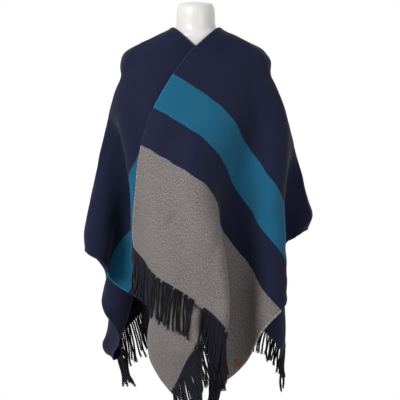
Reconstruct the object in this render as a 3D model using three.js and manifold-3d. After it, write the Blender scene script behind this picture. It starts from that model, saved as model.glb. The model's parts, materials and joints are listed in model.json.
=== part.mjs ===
// A striped wool poncho, open down the front, on a limbless dress form with a pole and a round base.
// Millimetres. X runs to the wearer's left, the front faces -Y, Z is up and the base stands on z = 0.
import * as THREE from 'three';
import Module from 'manifold-3d';

// Sizes.
const WALL = 2.2;
const SEAM = 0.3;
const LENGTH = { front: 700, back: 655 };
const HALF_WIDTH = { left: 706, right: 752 };
const NECK_HOLE = { wide: 48, back: 70, front: 130 };
const COLUMNS = 20;
const ROWS = 20;
const LAYER_GAP = 8;
const BODY_X = -6;

// The garment is measured on a square grid seen from the front, a little from above.
const GRID = { step: 2.75, neckColumn: 196, shoulderRow: 25, shoulderHeight: 1450, tilt: 6 };
const TILT_COS = Math.cos(GRID.tilt * Math.PI / 180);
const TILT_SIN = Math.sin(GRID.tilt * Math.PI / 180);

// Where lines across the cloth come to rest. Each line is "down" mm below the shoulder line;
// each point is [mm out from the centre, column, row, first depth, hidden].
const LEFT_LINES = [
  { down: 0, points: [
    [48, 217.5, 23, 0], [209, 268, 54, 0], [341, 282, 100, 0], [448, 292, 137.5, 0],
    [541, 301.4, 170, 0], [592, 305.5, 188, 0], [690, 315, 221.4, 0], [706, 315.5, 227, 0]] },
  { down: 100, points: [[11, 197, 48.5, -66]] },
  { down: 200, points: [
    [0, 173, 78, -95], [22, 180, 80.4, -95], [116, 204.5, 98.8, -100], [165, 218.8, 106.4, -110],
    [222, 233, 118, -130], [272, 241, 132.4, -150], [317, 245.3, 146.7, -140], [396, 257.6, 169.4, -110],
    [451, 268.8, 183.7, -90], [524, 274.9, 207, -80], [595, 280, 229.6, -70], [706, 272, 255, 0, true]] },
  { down: 303, points: [
    [0, 153.7, 107, -125], [113, 185.3, 128.4, -130], [164, 199.6, 137.6, -130], [217, 212.9, 149.8, -135],
    [266, 223.9, 162, -160], [336, 237, 181.6, -170], [374, 243.3, 192.9, -160], [418, 247.3, 207, -150],
    [459, 255.5, 218.4, -140], [549, 271.8, 243.9, -120], [600, 283, 257, -80], [706, 280, 280, -20, true]] },
  { down: 406, points: [
    [0, 142.4, 142.7, -140], [180, 185.3, 173.5, -145], [259, 203.7, 188.8, -160], [316, 215.9, 201, -180],
    [365, 220, 215.3, -190], [395, 224, 223.5, -190], [500, 243.3, 249, -170], [607, 258.6, 277.6, -140],
    [706, 271.8, 301, -120]] },
  { down: 509, points: [[0, 138, 180, -150]] },
  { down: 606, points: [[0, 136, 215, -155]] },
  { down: 700, points: [
    [0, 137, 241, -155], [120, 153, 274, -160], [215, 175, 291, -165], [335, 200, 312, -185],
    [390, 210, 322, -190], [530, 209, 350, -160], [620, 213, 368, -150], [706, 222, 381.5, -140]] },
];
const RIGHT_LINES = [
  { down: 0, points: [
    [48, 174.5, 23, 0], [202, 126, 52, 0], [243, 121, 66, 0], [359, 111, 107, 0], [481, 100.6, 150, 0],
    [537, 97, 170, 0], [618, 90.4, 199, 0], [703, 85.3, 229.6, 0], [752, 82.8, 247, 0]] },
  { down: 100, points: [[11, 197, 48.5, -58]] },
  { down: 200, points: [
    [0, 219, 78, -85], [116, 187.5, 98.8, -90], [222, 160, 118, -120], [317, 148, 146.7, -130],
    [451, 131, 189, -110], [620, 129, 232, -110], [752, 105, 267, -90]] },
  { down: 303, points: [
    [0, 238.3, 107, -110], [164, 192.4, 137.6, -115], [266, 168, 162, -145], [374, 149, 192.9, -150],
    [459, 137, 218.4, -130], [600, 129, 257, -110], [752, 131, 293, -100]] },
  { down: 406, points: [
    [0, 250, 142.7, -125], [259, 188, 188.8, -145], [395, 168, 223.5, -170], [560, 150, 266, -150],
    [752, 149, 318, -120]] },
  { down: 505, points: [[752, 149, 335, -100]] },
  { down: 570, points: [[752, 151, 350, -100]] },
  { down: 612, points: [[752, 155, 361, -100]] },
  { down: 650, points: [[752, 161, 371, -100]] },
  { down: 700, points: [
    [0, 255, 241, -140, true], [215, 217, 291, -150, true], [335, 196, 311, -165], [620, 190, 348, -130],
    [690, 182, 367, -130], [752, 171, 385, -125]] },
];
// Where the back hem comes to rest: [mm out from the centre, column, row].
const BACK_HEM = {
  left: [[706, 286, 352]],
  right: [[752, 104, 347], [640, 113, 352]],
};

// The outline from the front: seen height, wearer's right edge, wearer's left edge, all mm.
const OUTLINE = [
  [1450, -62, 62], [1427, -85, 90], [1401, -136, 140], [1376, -190, 188], [1340, -206, 213],
  [1224, -234, 240], [1141, -254, 264], [1106, -262, 273], [1051, -272, 290], [1002, -283, 301],
  [971, -290, 309], [910, -301, 328], [887, -305, 306], [864, -309, 273], [848, -311, 245],
  [839, -311, 243], [810, -290, 244], [786, -258, 245], [694, -259, 247], [640, -264, 250],
  [592, -268, 262], [556, -260, 258], [520, -240, 236], [440, -200, 200],
];
const DEPTH = { front: -265, back: 290, wingTip: 60, divide: 61, near: 120 };

// Sections of the dress form: height, half width, half depth, how far back its middle lies.
const FORM = [
  [765, 158, 102, 6], [790, 168, 110, 6], [860, 170, 114, 6], [940, 150, 104, 4], [1020, 130, 92, 0],
  [1100, 146, 106, -4], [1180, 162, 118, -8], [1250, 180, 108, -2], [1310, 194, 88, 2],
  [1340, 196, 78, 3], [1362, 188, 72, 4], [1381, 170, 69, 4], [1401, 136, 68, 2], [1423, 90, 65, 0],
  [1438, 61, 60, 0], [1450, 55, 57, 0], [1500, 53, 55, 0], [1507, 46, 48, 0],
];
const FORM_SIDES = 32;
const FORM_INSET = 1.2;
const CLOTH_OFF_FORM = 4.2;
const POLE = { radius: 12.5, bottom: 8.3, top: 764.7 };
const BASE = { radius: 165, height: 8, edge: 2 };

const STRANDS = { front: 56, back: 104, length: 104, radius: 2.7, parts: 3, strip: 5, apart: 6.8 };
const TAB = { out: 694, down: 620, width: 21, height: 13, thick: 1.2 };

// Cloth points.
const SIDES = ['left', 'right'];
const LINES = { left: LEFT_LINES, right: RIGHT_LINES };
const ROW_COUNT = 2 * ROWS + 1;
const POINTS = 2 * (COLUMNS + 1) * ROW_COUNT;
const spread = (k, n) => 0.5 * k / n + 0.5 * (k / n) ** 1.5;
const down = Array.from({ length: ROW_COUNT }, (_, j) =>
  (j < ROWS ? -LENGTH.back * spread(ROWS - j, ROWS) : LENGTH.front * spread(j - ROWS, ROWS)));
const sign = side => (side === 'left' ? 1 : -1);
const other = side => (side === 'left' ? 'right' : 'left');

function holeEdge(s) {
  if (s < 0) return NECK_HOLE.wide * Math.sqrt(Math.max(0, 1 - (s / NECK_HOLE.back) ** 2));
  return NECK_HOLE.wide * Math.max(0, 1 - s / NECK_HOLE.front);
}
function outAt(side, i, j) {
  const edge = holeEdge(down[j]);
  return edge + (HALF_WIDTH[side] - edge) * spread(i, COLUMNS);
}
const at = (side, i, j) => ((side === 'left' ? 0 : 1) * (COLUMNS + 1) + i) * ROW_COUNT + j;
const flat = new Float64Array(POINTS * 2);
const pos = new Float64Array(POINTS * 3);
const toSight = (column, row) => [
  (column - GRID.neckColumn) * GRID.step,
  GRID.shoulderHeight - (row - GRID.shoulderRow) * GRID.step];
const seenHeight = (y, z) => GRID.shoulderHeight + (z - GRID.shoulderHeight) * TILT_COS + y * TILT_SIN;

function alongLine(points, out) {
  if (out <= points[0][0]) return points[0].slice(1, 4);
  for (let k = 1; k < points.length; k++) {
    const [a, b] = [points[k - 1], points[k]];
    if (out > b[0]) continue;
    const u = (out - a[0]) / (b[0] - a[0]);
    return [1, 2, 3].map(c => a[c] + (b[c] - a[c]) * u);
  }
  return points[points.length - 1].slice(1, 4);
}
function firstFront(side, out, s) {
  const full = LINES[side].filter(line => line.points.length > 3);
  let k = 1;
  while (k < full.length - 1 && s > full[k].down) k++;
  const [a, b] = [full[k - 1], full[k]];
  const u = (s - a.down) / (b.down - a.down);
  const [p, q] = [alongLine(a.points, out), alongLine(b.points, out)];
  const m = p.map((v, c) => v + (q[c] - v) * u);
  const [x, v] = toSight(m[0], m[1]);
  return [x, m[2], GRID.shoulderHeight + (v - GRID.shoulderHeight - m[2] * TILT_SIN) / TILT_COS];
}
// Beyond the shoulder the back hangs as a cone of straight rays, with flutes that swing backwards.
const FLUTES = { from: 209, count: 2, lean: 0.27, narrow: 0.06, bulge: 0.1, spread: Math.PI / 2 };
function fluteRays(depth) {
  const steps = 200;
  const rays = [];
  const turned = [0];
  for (let q = 0; q <= steps; q++) {
    const u = q / steps;
    const swing = depth * (1 - Math.cos(2 * Math.PI * FLUTES.count * u)) / 2;
    rays.push(new THREE.Vector3(FLUTES.lean * (1 - u) - FLUTES.narrow * u, 0.08 + swing, -1).normalize());
    if (q) turned.push(turned[q - 1] + rays[q].angleTo(rays[q - 1]));
  }
  return { rays, turned };
}
// The depth of the swing is searched for that gives the rays a quarter turn in all.
let [shallow, deep] = [0, 3];
for (let q = 0; q < 40; q++) {
  const middle = (shallow + deep) / 2;
  if (fluteRays(middle).turned.at(-1) < FLUTES.spread) shallow = middle;
  else deep = middle;
}
const { rays, turned } = fluteRays(shallow);
function rayAt(angle) {
  let q = 1;
  while (q < turned.length - 1 && turned[q] < angle) q++;
  const u = (angle - turned[q - 1]) / (turned[q] - turned[q - 1]);
  return rays[q - 1].clone().lerp(rays[q], u);
}
function firstBack(side, out, s) {
  const over = 70 * (1 - Math.exp(s / 50));
  const line = LINES[side][0].points;
  if (out < FLUTES.from) {
    const [x, z] = toSight(...alongLine(line, out));
    const narrow = 1 + FLUTES.narrow * s / 198;
    const bulge = -FLUTES.bulge * s * (1 - (out / FLUTES.from) ** 2);
    return [x * narrow, over - 0.08 * s + bulge, z + 0.96 * s];
  }
  const [x, z] = toSight(...alongLine(line, FLUTES.from));
  const reach = Math.hypot(out - FLUTES.from, s);
  const ray = rayAt(Math.atan2(-s, out - FLUTES.from));
  return [x + sign(side) * ray.x * reach, over + ray.y * reach, z + ray.z * reach];
}
for (const side of SIDES) for (let i = 0; i <= COLUMNS; i++) for (let j = 0; j < ROW_COUNT; j++) {
  const k = at(side, i, j);
  const out = outAt(side, i, j);
  flat[2 * k] = sign(side) * out;
  flat[2 * k + 1] = down[j];
  pos.set(down[j] < 0 ? firstBack(side, out, down[j]) : firstFront(side, out, down[j]), 3 * k);
}
const backJoin = down.map((s, j) => j).filter(j => down[j] <= -NECK_HOLE.back);

// Links that keep lengths.
const STIFF = { thread: 1, give: 0.35, shear: 0.5, bend: 0.5, longBend: 0.1 };
const links = [];
function addLinks(pairs, stiff, give = 1) {
  const rest = pairs.map(([a, b]) => Math.hypot(flat[2 * a] - flat[2 * b], flat[2 * a + 1] - flat[2 * b + 1]));
  links.push({ pairs, rest, stiff, give });
}
function gather(di, dj, useColumn, useRow) {
  const pairs = [];
  for (const side of SIDES) for (let i = 0; i + di <= COLUMNS; i++) {
    if (!useColumn(i)) continue;
    for (let j = Math.max(0, -dj); j + Math.max(0, dj) < ROW_COUNT; j++) {
      if (useRow(j)) pairs.push([at(side, i, j), at(side, i + di, j + dj)]);
    }
  }
  return pairs;
}
const all = () => true;
const parity = p => k => k % 2 === p;
for (const p of [0, 1]) {
  addLinks(gather(1, 0, parity(p), all), STIFF.thread, STIFF.give);
  addLinks(gather(0, 1, all, parity(p)), STIFF.thread, STIFF.give);
}
for (const p of [0, 1]) {
  addLinks(gather(1, 1, parity(p), all), STIFF.shear);
  addLinks(gather(1, -1, parity(p), all), STIFF.shear);
}
for (const step of [2, 4]) for (const p of [0, step]) {
  const part = k => k % (2 * step) >= p && k % (2 * step) < p + step;
  const stiff = step === 2 ? STIFF.bend : STIFF.longBend;
  addLinks(gather(step, 0, part, all), stiff);
  addLinks(gather(0, step, all, part), stiff);
}
addLinks(backJoin.map(j => [at('left', 1, j), at('right', 1, j)]), STIFF.bend);

// Holds from the measured lines.
function clothWeights(side, out, s) {
  let j = ROWS;
  while (j < ROW_COUNT - 2 && down[j + 1] < s) j++;
  const v = Math.min(1, Math.max(0, (s - down[j]) / (down[j + 1] - down[j])));
  const list = [];
  for (const [row, rowShare] of [[j, 1 - v], [j + 1, v]]) {
    let i = 0;
    while (i < COLUMNS - 1 && outAt(side, i + 1, row) < out) i++;
    const [a, b] = [outAt(side, i, row), outAt(side, i + 1, row)];
    const u = Math.min(1, Math.max(0, (out - a) / (b - a)));
    list.push([at(side, i, row), (1 - u) * rowShare], [at(side, i + 1, row), u * rowShare]);
  }
  return list.filter(([, share]) => share > 1e-6);
}
const holds = [];
for (const side of SIDES) {
  for (const line of LINES[side]) for (const [out, column, row, , hidden] of line.points) {
    if (!hidden) holds.push({ shares: clothWeights(side, out, line.down), sight: toSight(column, row) });
  }
  for (const [out, column, row] of BACK_HEM[side]) {
    let i = 0;
    while (i < COLUMNS - 1 && outAt(side, i + 1, 0) < out) i++;
    const [a, b] = [outAt(side, i, 0), outAt(side, i + 1, 0)];
    const u = Math.min(1, (out - a) / (b - a));
    const shares = [[at(side, i, 0), 1 - u], [at(side, i + 1, 0), u]].filter(([, share]) => share > 1e-6);
    holds.push({ shares, sight: toSight(column, row) });
  }
}

// The form as a smooth body.
const slope = c => FORM.map((row, k) => {
  const [a, b] = [FORM[Math.max(0, k - 1)], FORM[Math.min(FORM.length - 1, k + 1)]];
  return (b[c] - a[c]) / (b[0] - a[0]);
});
const slopes = [null, slope(1), slope(2), slope(3)];
const FORM_BOTTOM = FORM[0][0];
const FORM_TOP = FORM[FORM.length - 1][0];
function section(height) {
  const z = Math.min(FORM_TOP, Math.max(FORM_BOTTOM, height));
  let k = 0;
  while (k < FORM.length - 2 && FORM[k + 1][0] < z) k++;
  const h = FORM[k + 1][0] - FORM[k][0];
  const u = (z - FORM[k][0]) / h;
  return [1, 2, 3].map(c => {
    const [p, q] = [FORM[k][c], FORM[k + 1][c]];
    const [m, n] = [slopes[c][k] * h, slopes[c][k + 1] * h];
    const value = (2 * u ** 3 - 3 * u ** 2 + 1) * p + (u ** 3 - 2 * u ** 2 + u) * m
      + (3 * u ** 2 - 2 * u ** 3) * q + (u ** 3 - u ** 2) * n;
    const rate = ((6 * u * u - 6 * u) * (p - q) + (3 * u * u - 4 * u + 1) * m + (3 * u * u - 2 * u) * n) / h;
    return { value, rate };
  });
}
// How far to move a point so that it lies at least "distance" off the form, or null.
function formPush([px, py, pz], distance) {
  if (pz <= FORM_BOTTOM || pz > FORM_TOP + 4) return null;
  const [a, b, c] = section(pz);
  const A = a.value + distance;
  const B = b.value + distance;
  const y = py - c.value;
  const q = Math.hypot(px / A, y / B) + 1e-9;
  if (q >= 1) return null;
  const gx = px / (A * A * q);
  const gy = y / (B * B * q);
  const gz = -(px * px * a.rate / A ** 3 + y * y * b.rate / B ** 3) / q - y * c.rate / (B * B * q);
  const size = Math.hypot(gx, gy, gz);
  const push = Math.min((1 - q) / size ** 2, 12 / size);
  return [push * gx, push * gy, push * gz];
}
function offForm(corners, distance) {
  const p = [0, 1, 2].map(c => corners.reduce((sum, k) => sum + pos[3 * k + c], 0) / corners.length);
  const push = formPush(p, distance);
  if (push) for (const k of corners) push.forEach((d, c) => {
    pos[3 * k + c] += d;
  });
}

// Keeping layers in order.
const MAP = { cell: 14, x: -420, z: 340, wide: 62, high: 86 };
const triangles = (sides, from, to) => {
  const list = [];
  for (const side of sides) for (let i = 0; i < COLUMNS; i++) for (let j = from; j < to; j++) {
    const [a, b, c, d] = [at(side, i, j), at(side, i + 1, j), at(side, i + 1, j + 1), at(side, i, j + 1)];
    list.push([a, b, c], [a, c, d]);
  }
  return list;
};
const frontLeft = triangles(['left'], ROWS, ROW_COUNT - 1);
const frontRight = triangles(['right'], ROWS, ROW_COUNT - 1);
const fronts = [...frontLeft, ...frontRight];
const back = triangles(SIDES, 0, ROWS);
const first = (a, b) => a < b;
const last = (a, b) => a > b;

function depthMap(list, better, cell = MAP.cell) {
  const scale = MAP.cell / cell;
  const wide = Math.round(MAP.wide * scale);
  const high = Math.round(MAP.high * scale);
  const depth = new Float64Array(wide * high).fill(NaN);
  for (const [a, b, c] of list) {
    const [ax, az, bx, bz, cx, cz] = [a, b, c].flatMap(k => [pos[3 * k], pos[3 * k + 2]]);
    const area = (bx - ax) * (cz - az) - (cx - ax) * (bz - az);
    if (Math.abs(area) < 20) continue;
    const i0 = Math.max(0, Math.ceil((Math.min(ax, bx, cx) - MAP.x) / cell));
    const i1 = Math.min(wide - 1, Math.floor((Math.max(ax, bx, cx) - MAP.x) / cell));
    const j0 = Math.max(0, Math.ceil((Math.min(az, bz, cz) - MAP.z) / cell));
    const j1 = Math.min(high - 1, Math.floor((Math.max(az, bz, cz) - MAP.z) / cell));
    for (let i = i0; i <= i1; i++) for (let j = j0; j <= j1; j++) {
      const x = MAP.x + i * cell;
      const z = MAP.z + j * cell;
      const u = ((x - ax) * (cz - az) - (cx - ax) * (z - az)) / area;
      const v = ((bx - ax) * (z - az) - (x - ax) * (bz - az)) / area;
      if (u < 0 || v < 0 || u + v > 1) continue;
      const y = pos[3 * a + 1] * (1 - u - v) + pos[3 * b + 1] * u + pos[3 * c + 1] * v;
      const q = i * high + j;
      if (Number.isNaN(depth[q]) || better(y, depth[q])) depth[q] = y;
    }
  }
  return { depth, cell, wide, high };
}
function depthAt(map, x, z, better) {
  const i = Math.floor((x - MAP.x) / map.cell);
  const j = Math.floor((z - MAP.z) / map.cell);
  if (i < 0 || j < 0 || i >= map.wide - 1 || j >= map.high - 1) return NaN;
  let found = NaN;
  for (const [p, q] of [[i, j], [i + 1, j], [i, j + 1], [i + 1, j + 1]]) {
    const y = map.depth[p * map.high + q];
    if (!Number.isNaN(y) && (Number.isNaN(found) || better(y, found))) found = y;
  }
  return found;
}
function keepBefore(k, limit, reach, share) {
  const y = pos[3 * k + 1];
  if (y > limit && y < limit + reach) pos[3 * k + 1] += share * (limit - y);
}
function keepBehind(k, limit, reach, share) {
  const y = pos[3 * k + 1];
  if (y < limit && y > limit - reach) pos[3 * k + 1] += share * (limit - y);
}
function orderFronts(cell, gap, shares) {
  const right = depthMap(frontRight, first, cell);
  const left = depthMap(frontLeft, last, cell);
  for (let i = 0; i <= COLUMNS; i++) for (let j = ROWS + 1; j < ROW_COUNT; j++) {
    const k = at('left', i, j);
    keepBefore(k, depthAt(right, pos[3 * k], pos[3 * k + 2], first) - gap, 120, shares[0]);
  }
  for (let i = 0; i <= 17; i++) for (let j = ROWS + 1; j < ROW_COUNT; j++) {
    const k = at('right', i, j);
    keepBehind(k, depthAt(left, pos[3 * k], pos[3 * k + 2], last) + gap, 120, shares[1]);
  }
}
function orderBack() {
  const front = depthMap(fronts, last);
  const rear = depthMap(back, first);
  for (const side of SIDES) for (let i = 1; i <= COLUMNS; i++) for (let j = 0; j < ROW_COUNT; j++) {
    const k = at(side, i, j);
    const gap = LAYER_GAP * Math.min(1, Math.abs(down[j]) / 120);
    if (j < ROWS) keepBehind(k, depthAt(front, pos[3 * k], pos[3 * k + 2], last) + gap, 80, 0.4);
    if (j > ROWS) keepBefore(k, depthAt(rear, pos[3 * k], pos[3 * k + 2], first) - gap, 80, 0.4);
  }
}

// Points that come near another stretch of cloth are held off it.
const sheet = [...back, ...fronts];
const NEAR = { cell: 45, distance: 9, share: 0.5, skip: 3 };
const place = k => {
  const i = Math.floor(k / ROW_COUNT);
  return [i > COLUMNS ? -(i - COLUMNS - 1) : i, k % ROW_COUNT];
};
const places = Array.from({ length: POINTS }, (_, k) => place(k));
function neighbours(k, q) {
  const [a, b] = [places[k], places[q]];
  const apart = Math.abs(a[1] - b[1]);
  const across = (k < POINTS / 2) === (q < POINTS / 2) || Math.max(down[a[1]], down[b[1]]) < 0
    ? Math.abs(a[0] - b[0]) : 99;
  if (down[a[1]] * down[b[1]] < 0 && a[0] > 1) return false;
  return apart <= NEAR.skip && across <= NEAR.skip;
}
const triangle = new THREE.Triangle();
const spot = new THREE.Vector3();
const closest = (p, a, b, c, found) => triangle.set(a, b, c).closestPointToPoint(p, found);
const vec = k => new THREE.Vector3(pos[3 * k], pos[3 * k + 1], pos[3 * k + 2]);
const samples = [];
for (const side of SIDES) for (let i = 0; i <= COLUMNS; i++) for (let j = 0; j < ROW_COUNT; j++) {
  samples.push([at(side, i, j)]);
  if (i < COLUMNS) samples.push([at(side, i, j), at(side, i + 1, j)]);
  if (j < ROW_COUNT - 1) samples.push([at(side, i, j), at(side, i, j + 1)]);
  if (i < COLUMNS && j < ROW_COUNT - 1) {
    samples.push([at(side, i, j), at(side, i + 1, j), at(side, i, j + 1), at(side, i + 1, j + 1)]);
  }
}
function holdOff(share, distance = NEAR.distance) {
  const cells = new Map();
  const key = (x, y, z) => (x * 512 + y) * 512 + z;
  const cellOf = v => Math.floor(v / NEAR.cell) + 200;
  const corners = sheet.map(t => t.map(vec));
  corners.forEach(([a, b, c], n) => {
    const low = a.clone().min(b).min(c).subScalar(distance);
    const high = a.clone().max(b).max(c).addScalar(distance);
    for (let x = cellOf(low.x); x <= cellOf(high.x); x++)
      for (let y = cellOf(low.y); y <= cellOf(high.y); y++)
        for (let z = cellOf(low.z); z <= cellOf(high.z); z++) {
          const id = key(x, y, z);
          if (!cells.has(id)) cells.set(id, []);
          cells.get(id).push(n);
        }
  });
  for (const corner of samples) {
    const p = new THREE.Vector3();
    for (const k of corner) p.add(vec(k));
    p.divideScalar(corner.length);
    const k = corner[0];
    const s = corner.reduce((sum, q) => sum + flat[2 * q + 1], 0) / corner.length;
    for (const n of cells.get(key(cellOf(p.x), cellOf(p.y), cellOf(p.z))) ?? []) {
      const t = sheet[n];
      const far = Math.max(...t.map(q => Math.abs(flat[2 * q + 1])));
      const opposite = t.some(q => flat[2 * q + 1] * s < 0) && Math.abs(s) > 1;
      if (opposite ? corner.some(q => t.includes(q)) : t.some(q => neighbours(k, q))) continue;
      closest(p, ...corners[n], spot);
      const d = spot.distanceTo(p);
      const wanted = opposite ? Math.min(distance, 0.25 * (Math.abs(s) + far)) : distance;
      if (d >= wanted || d < 1e-6) continue;
      const move = spot.clone().sub(p).multiplyScalar(share * (wanted - d) / d);
      for (const q of corner) {
        pos[3 * q] -= move.x;
        pos[3 * q + 1] -= move.y;
        pos[3 * q + 2] -= move.z;
      }
      for (const q of t) {
        pos[3 * q] += move.x / 3;
        pos[3 * q + 1] += move.y / 3;
        pos[3 * q + 2] += move.z / 3;
      }
      p.sub(move);
    }
  }
}

// Settling the cloth.
const SETTLE = {
  rounds: 600, passes: 3, fall: 0.4, firstFall: 1.2, hold: 0.6, outline: 0.4, backOutline: 0.15, smooth: 0.3 };
function pullHolds() {
  for (const { shares, sight } of holds) {
    let [x, y, z, total] = [0, 0, 0, 0];
    for (const [k, w] of shares) {
      x += w * pos[3 * k];
      y += w * pos[3 * k + 1];
      z += w * pos[3 * k + 2];
      total += w * w;
    }
    const dx = (sight[0] - x) * SETTLE.hold / total;
    const dv = (sight[1] - seenHeight(y, z)) * SETTLE.hold / total;
    for (const [k, w] of shares) {
      pos[3 * k] += w * dx;
      pos[3 * k + 1] += w * dv * TILT_SIN;
      pos[3 * k + 2] += w * dv * TILT_COS;
    }
  }
}
function pullLinks() {
  for (const { pairs, rest, stiff, give } of links) pairs.forEach(([a, b], n) => {
    const dx = pos[3 * b] - pos[3 * a];
    const dy = pos[3 * b + 1] - pos[3 * a + 1];
    const dz = pos[3 * b + 2] - pos[3 * a + 2];
    const d = Math.sqrt(dx * dx + dy * dy + dz * dz) + 1e-9;
    const f = 0.5 * stiff * (d < rest[n] ? give : 1) * (d - rest[n]) / d;
    pos[3 * a] += f * dx;
    pos[3 * a + 1] += f * dy;
    pos[3 * a + 2] += f * dz;
    pos[3 * b] -= f * dx;
    pos[3 * b + 1] -= f * dy;
    pos[3 * b + 2] -= f * dz;
  });
}
function joinBack() {
  for (const j of backJoin) for (let c = 0; c < 3; c++) {
    const [a, b] = [3 * at('left', 0, j) + c, 3 * at('right', 0, j) + c];
    pos[a] = pos[b] = (pos[a] + pos[b]) / 2;
  }
}
function keepOutline(k) {
  const y = pos[3 * k + 1];
  const v = seenHeight(y, pos[3 * k + 2]);
  let q = 0;
  while (q < OUTLINE.length - 2 && OUTLINE[q + 1][0] > v) q++;
  const [a, b] = [OUTLINE[q], OUTLINE[q + 1]];
  const u = Math.min(1, Math.max(0, (v - a[0]) / (b[0] - a[0])));
  const low = a[1] + (b[1] - a[1]) * u;
  const high = a[2] + (b[2] - a[2]) * u;
  const x = pos[3 * k];
  const hold = flat[2 * k + 1] < 0 ? SETTLE.backOutline : SETTLE.outline;
  pos[3 * k] += hold * (Math.min(high, Math.max(low, x)) - x);
  const s = flat[2 * k + 1];
  const front = s < -DEPTH.near ? DEPTH.divide + 5 : DEPTH.front;
  const rear = s > DEPTH.near ? DEPTH.divide - 5 : DEPTH.back;
  pos[3 * k + 1] += SETTLE.outline * (Math.min(rear, Math.max(front, y)) - y);
  if (s === 0) pos[3 * k + 1] += 0.1 * (DEPTH.wingTip * Math.abs(flat[2 * k]) / LENGTH.front - y);
}
function smoothCloth(share) {
  const old = pos.slice();
  for (const side of SIDES) for (let i = 0; i <= COLUMNS; i++) for (let j = 0; j < ROW_COUNT; j++) {
    const near = [];
    if (i > 0 && i < COLUMNS) near.push(at(side, i - 1, j), at(side, i + 1, j));
    if (i === 0 && down[j] <= -NECK_HOLE.back) near.push(at(side, 1, j), at(other(side), 1, j));
    if (j > 0 && j < ROW_COUNT - 1) near.push(at(side, i, j - 1), at(side, i, j + 1));
    if (near.length < 2 || (i < 3 && Math.abs(down[j]) < 30)) continue;
    const k = 3 * at(side, i, j);
    for (let c = 0; c < 3; c++) {
      const mean = near.reduce((sum, q) => sum + old[3 * q + c], 0) / near.length;
      pos[k + c] += share * (mean - old[k + c]);
    }
  }
}
for (let round = 0; round < SETTLE.rounds; round++) {
  const fall = SETTLE.firstFall * (1 - round / SETTLE.rounds) + SETTLE.fall;
  for (let k = 0; k < POINTS; k++) pos[3 * k + 2] -= fall;
  for (let pass = 0; pass < SETTLE.passes; pass++) {
    pullHolds();
    pullLinks();
    joinBack();
    for (let k = 0; k < POINTS; k++) {
      keepOutline(k);
      offForm([k], CLOTH_OFF_FORM);
    }
  }
  if (round % 3 === 2) holdOff(NEAR.share);
  if (round % 3 === 0) orderFronts(MAP.cell, LAYER_GAP, [0.6, 0.3]);
  if (round % 3 === 1) orderBack();
  if (round % 10 === 0 && round < SETTLE.rounds - 5) smoothCloth(SETTLE.smooth);
}
for (let round = 0; round < 8; round++) {
  smoothCloth(0.35);
  pullLinks();
  joinBack();
  for (const corners of samples) offForm(corners, CLOTH_OFF_FORM);
  holdOff(0.5, 9);
}
for (let round = 0; round < 12; round++) {
  orderFronts(7, LAYER_GAP - 1, [0.5, 0.5]);
  holdOff(0.25, 8);
  for (let k = 0; k < POINTS; k++) {
    keepOutline(k);
  }
  for (const corners of samples) offForm(corners, CLOTH_OFF_FORM);
}
joinBack();

// Solids.
const NAVY = 0x262a40;
const group = new THREE.Group();
const wasm = await Module();
wasm.setup();

function addMesh(name, vertices, faces, color) {
  const geometry = new THREE.BufferGeometry();
  geometry.setAttribute('position', new THREE.Float32BufferAttribute(vertices.flat(), 3));
  geometry.setIndex(faces.flat());
  geometry.computeVertexNormals();
  const mesh = new THREE.Mesh(geometry, new THREE.MeshStandardMaterial({ color, side: THREE.DoubleSide }));
  mesh.name = name;
  group.add(mesh);
  return mesh;
}

const normals = Array.from({ length: POINTS }, () => new THREE.Vector3());
for (const [a, b, c] of [...back, ...fronts]) {
  const flip = a < at('right', 0, 0) ? 1 : -1;
  const n = vec(b).sub(vec(a)).cross(vec(c).sub(vec(a))).multiplyScalar(flip);
  for (const k of [a, b, c]) normals[k].add(n);
}
for (const j of backJoin) {
  const [a, b] = [at('left', 0, j), at('right', 0, j)];
  normals[a].add(normals[b]);
  normals[b].copy(normals[a]);
}
for (const n of normals) n.normalize();

// A closed wall on a grid of points; each point is {p, n} and "grid" is columns of rows.
function wall(grid, half) {
  const [wide, high] = [grid.length, grid[0].length];
  const vertices = [];
  const index = (layer, i, j) => (layer * wide + i) * high + j;
  for (const layer of [0, 1]) for (const column of grid) for (const { p, n } of column) {
    vertices.push(p.clone().addScaledVector(n, layer ? half : -half).toArray());
  }
  const faces = [];
  const quad = (a, b, c, d) => faces.push([a, b, c], [a, c, d]);
  for (let i = 0; i < wide - 1; i++) for (let j = 0; j < high - 1; j++) {
    quad(index(1, i, j), index(1, i + 1, j), index(1, i + 1, j + 1), index(1, i, j + 1));
    quad(index(0, i, j), index(0, i, j + 1), index(0, i + 1, j + 1), index(0, i + 1, j));
  }
  for (let i = 0; i < wide - 1; i++) {
    quad(index(0, i, 0), index(0, i + 1, 0), index(1, i + 1, 0), index(1, i, 0));
    quad(index(1, i, high - 1), index(1, i + 1, high - 1), index(0, i + 1, high - 1), index(0, i, high - 1));
  }
  for (let j = 0; j < high - 1; j++) {
    quad(index(1, 0, j), index(1, 0, j + 1), index(0, 0, j + 1), index(0, 0, j));
    quad(index(0, wide - 1, j), index(0, wide - 1, j + 1), index(1, wide - 1, j + 1), index(1, wide - 1, j));
  }
  return { vertices, faces };
}
function shifted(side, i, j, towards, amount) {
  const p = vec(at(side, i, j));
  if (towards !== null) p.addScaledVector(vec(at(side, i, towards)).sub(p).normalize(), amount);
  return { p, n: normals[at(side, i, j)].clone() };
}
const columnsOf = (side, rows) => Array.from({ length: COLUMNS + 1 }, (_, i) =>
  rows.map(j => shifted(side, i, j, j === ROWS ? (rows[0] === ROWS ? ROWS + 1 : ROWS - 1) : null, SEAM / 2)));
const frontRows = Array.from({ length: ROWS + 1 }, (_, j) => ROWS + j);
const backRows = Array.from({ length: ROWS + 1 }, (_, j) => j);

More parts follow.
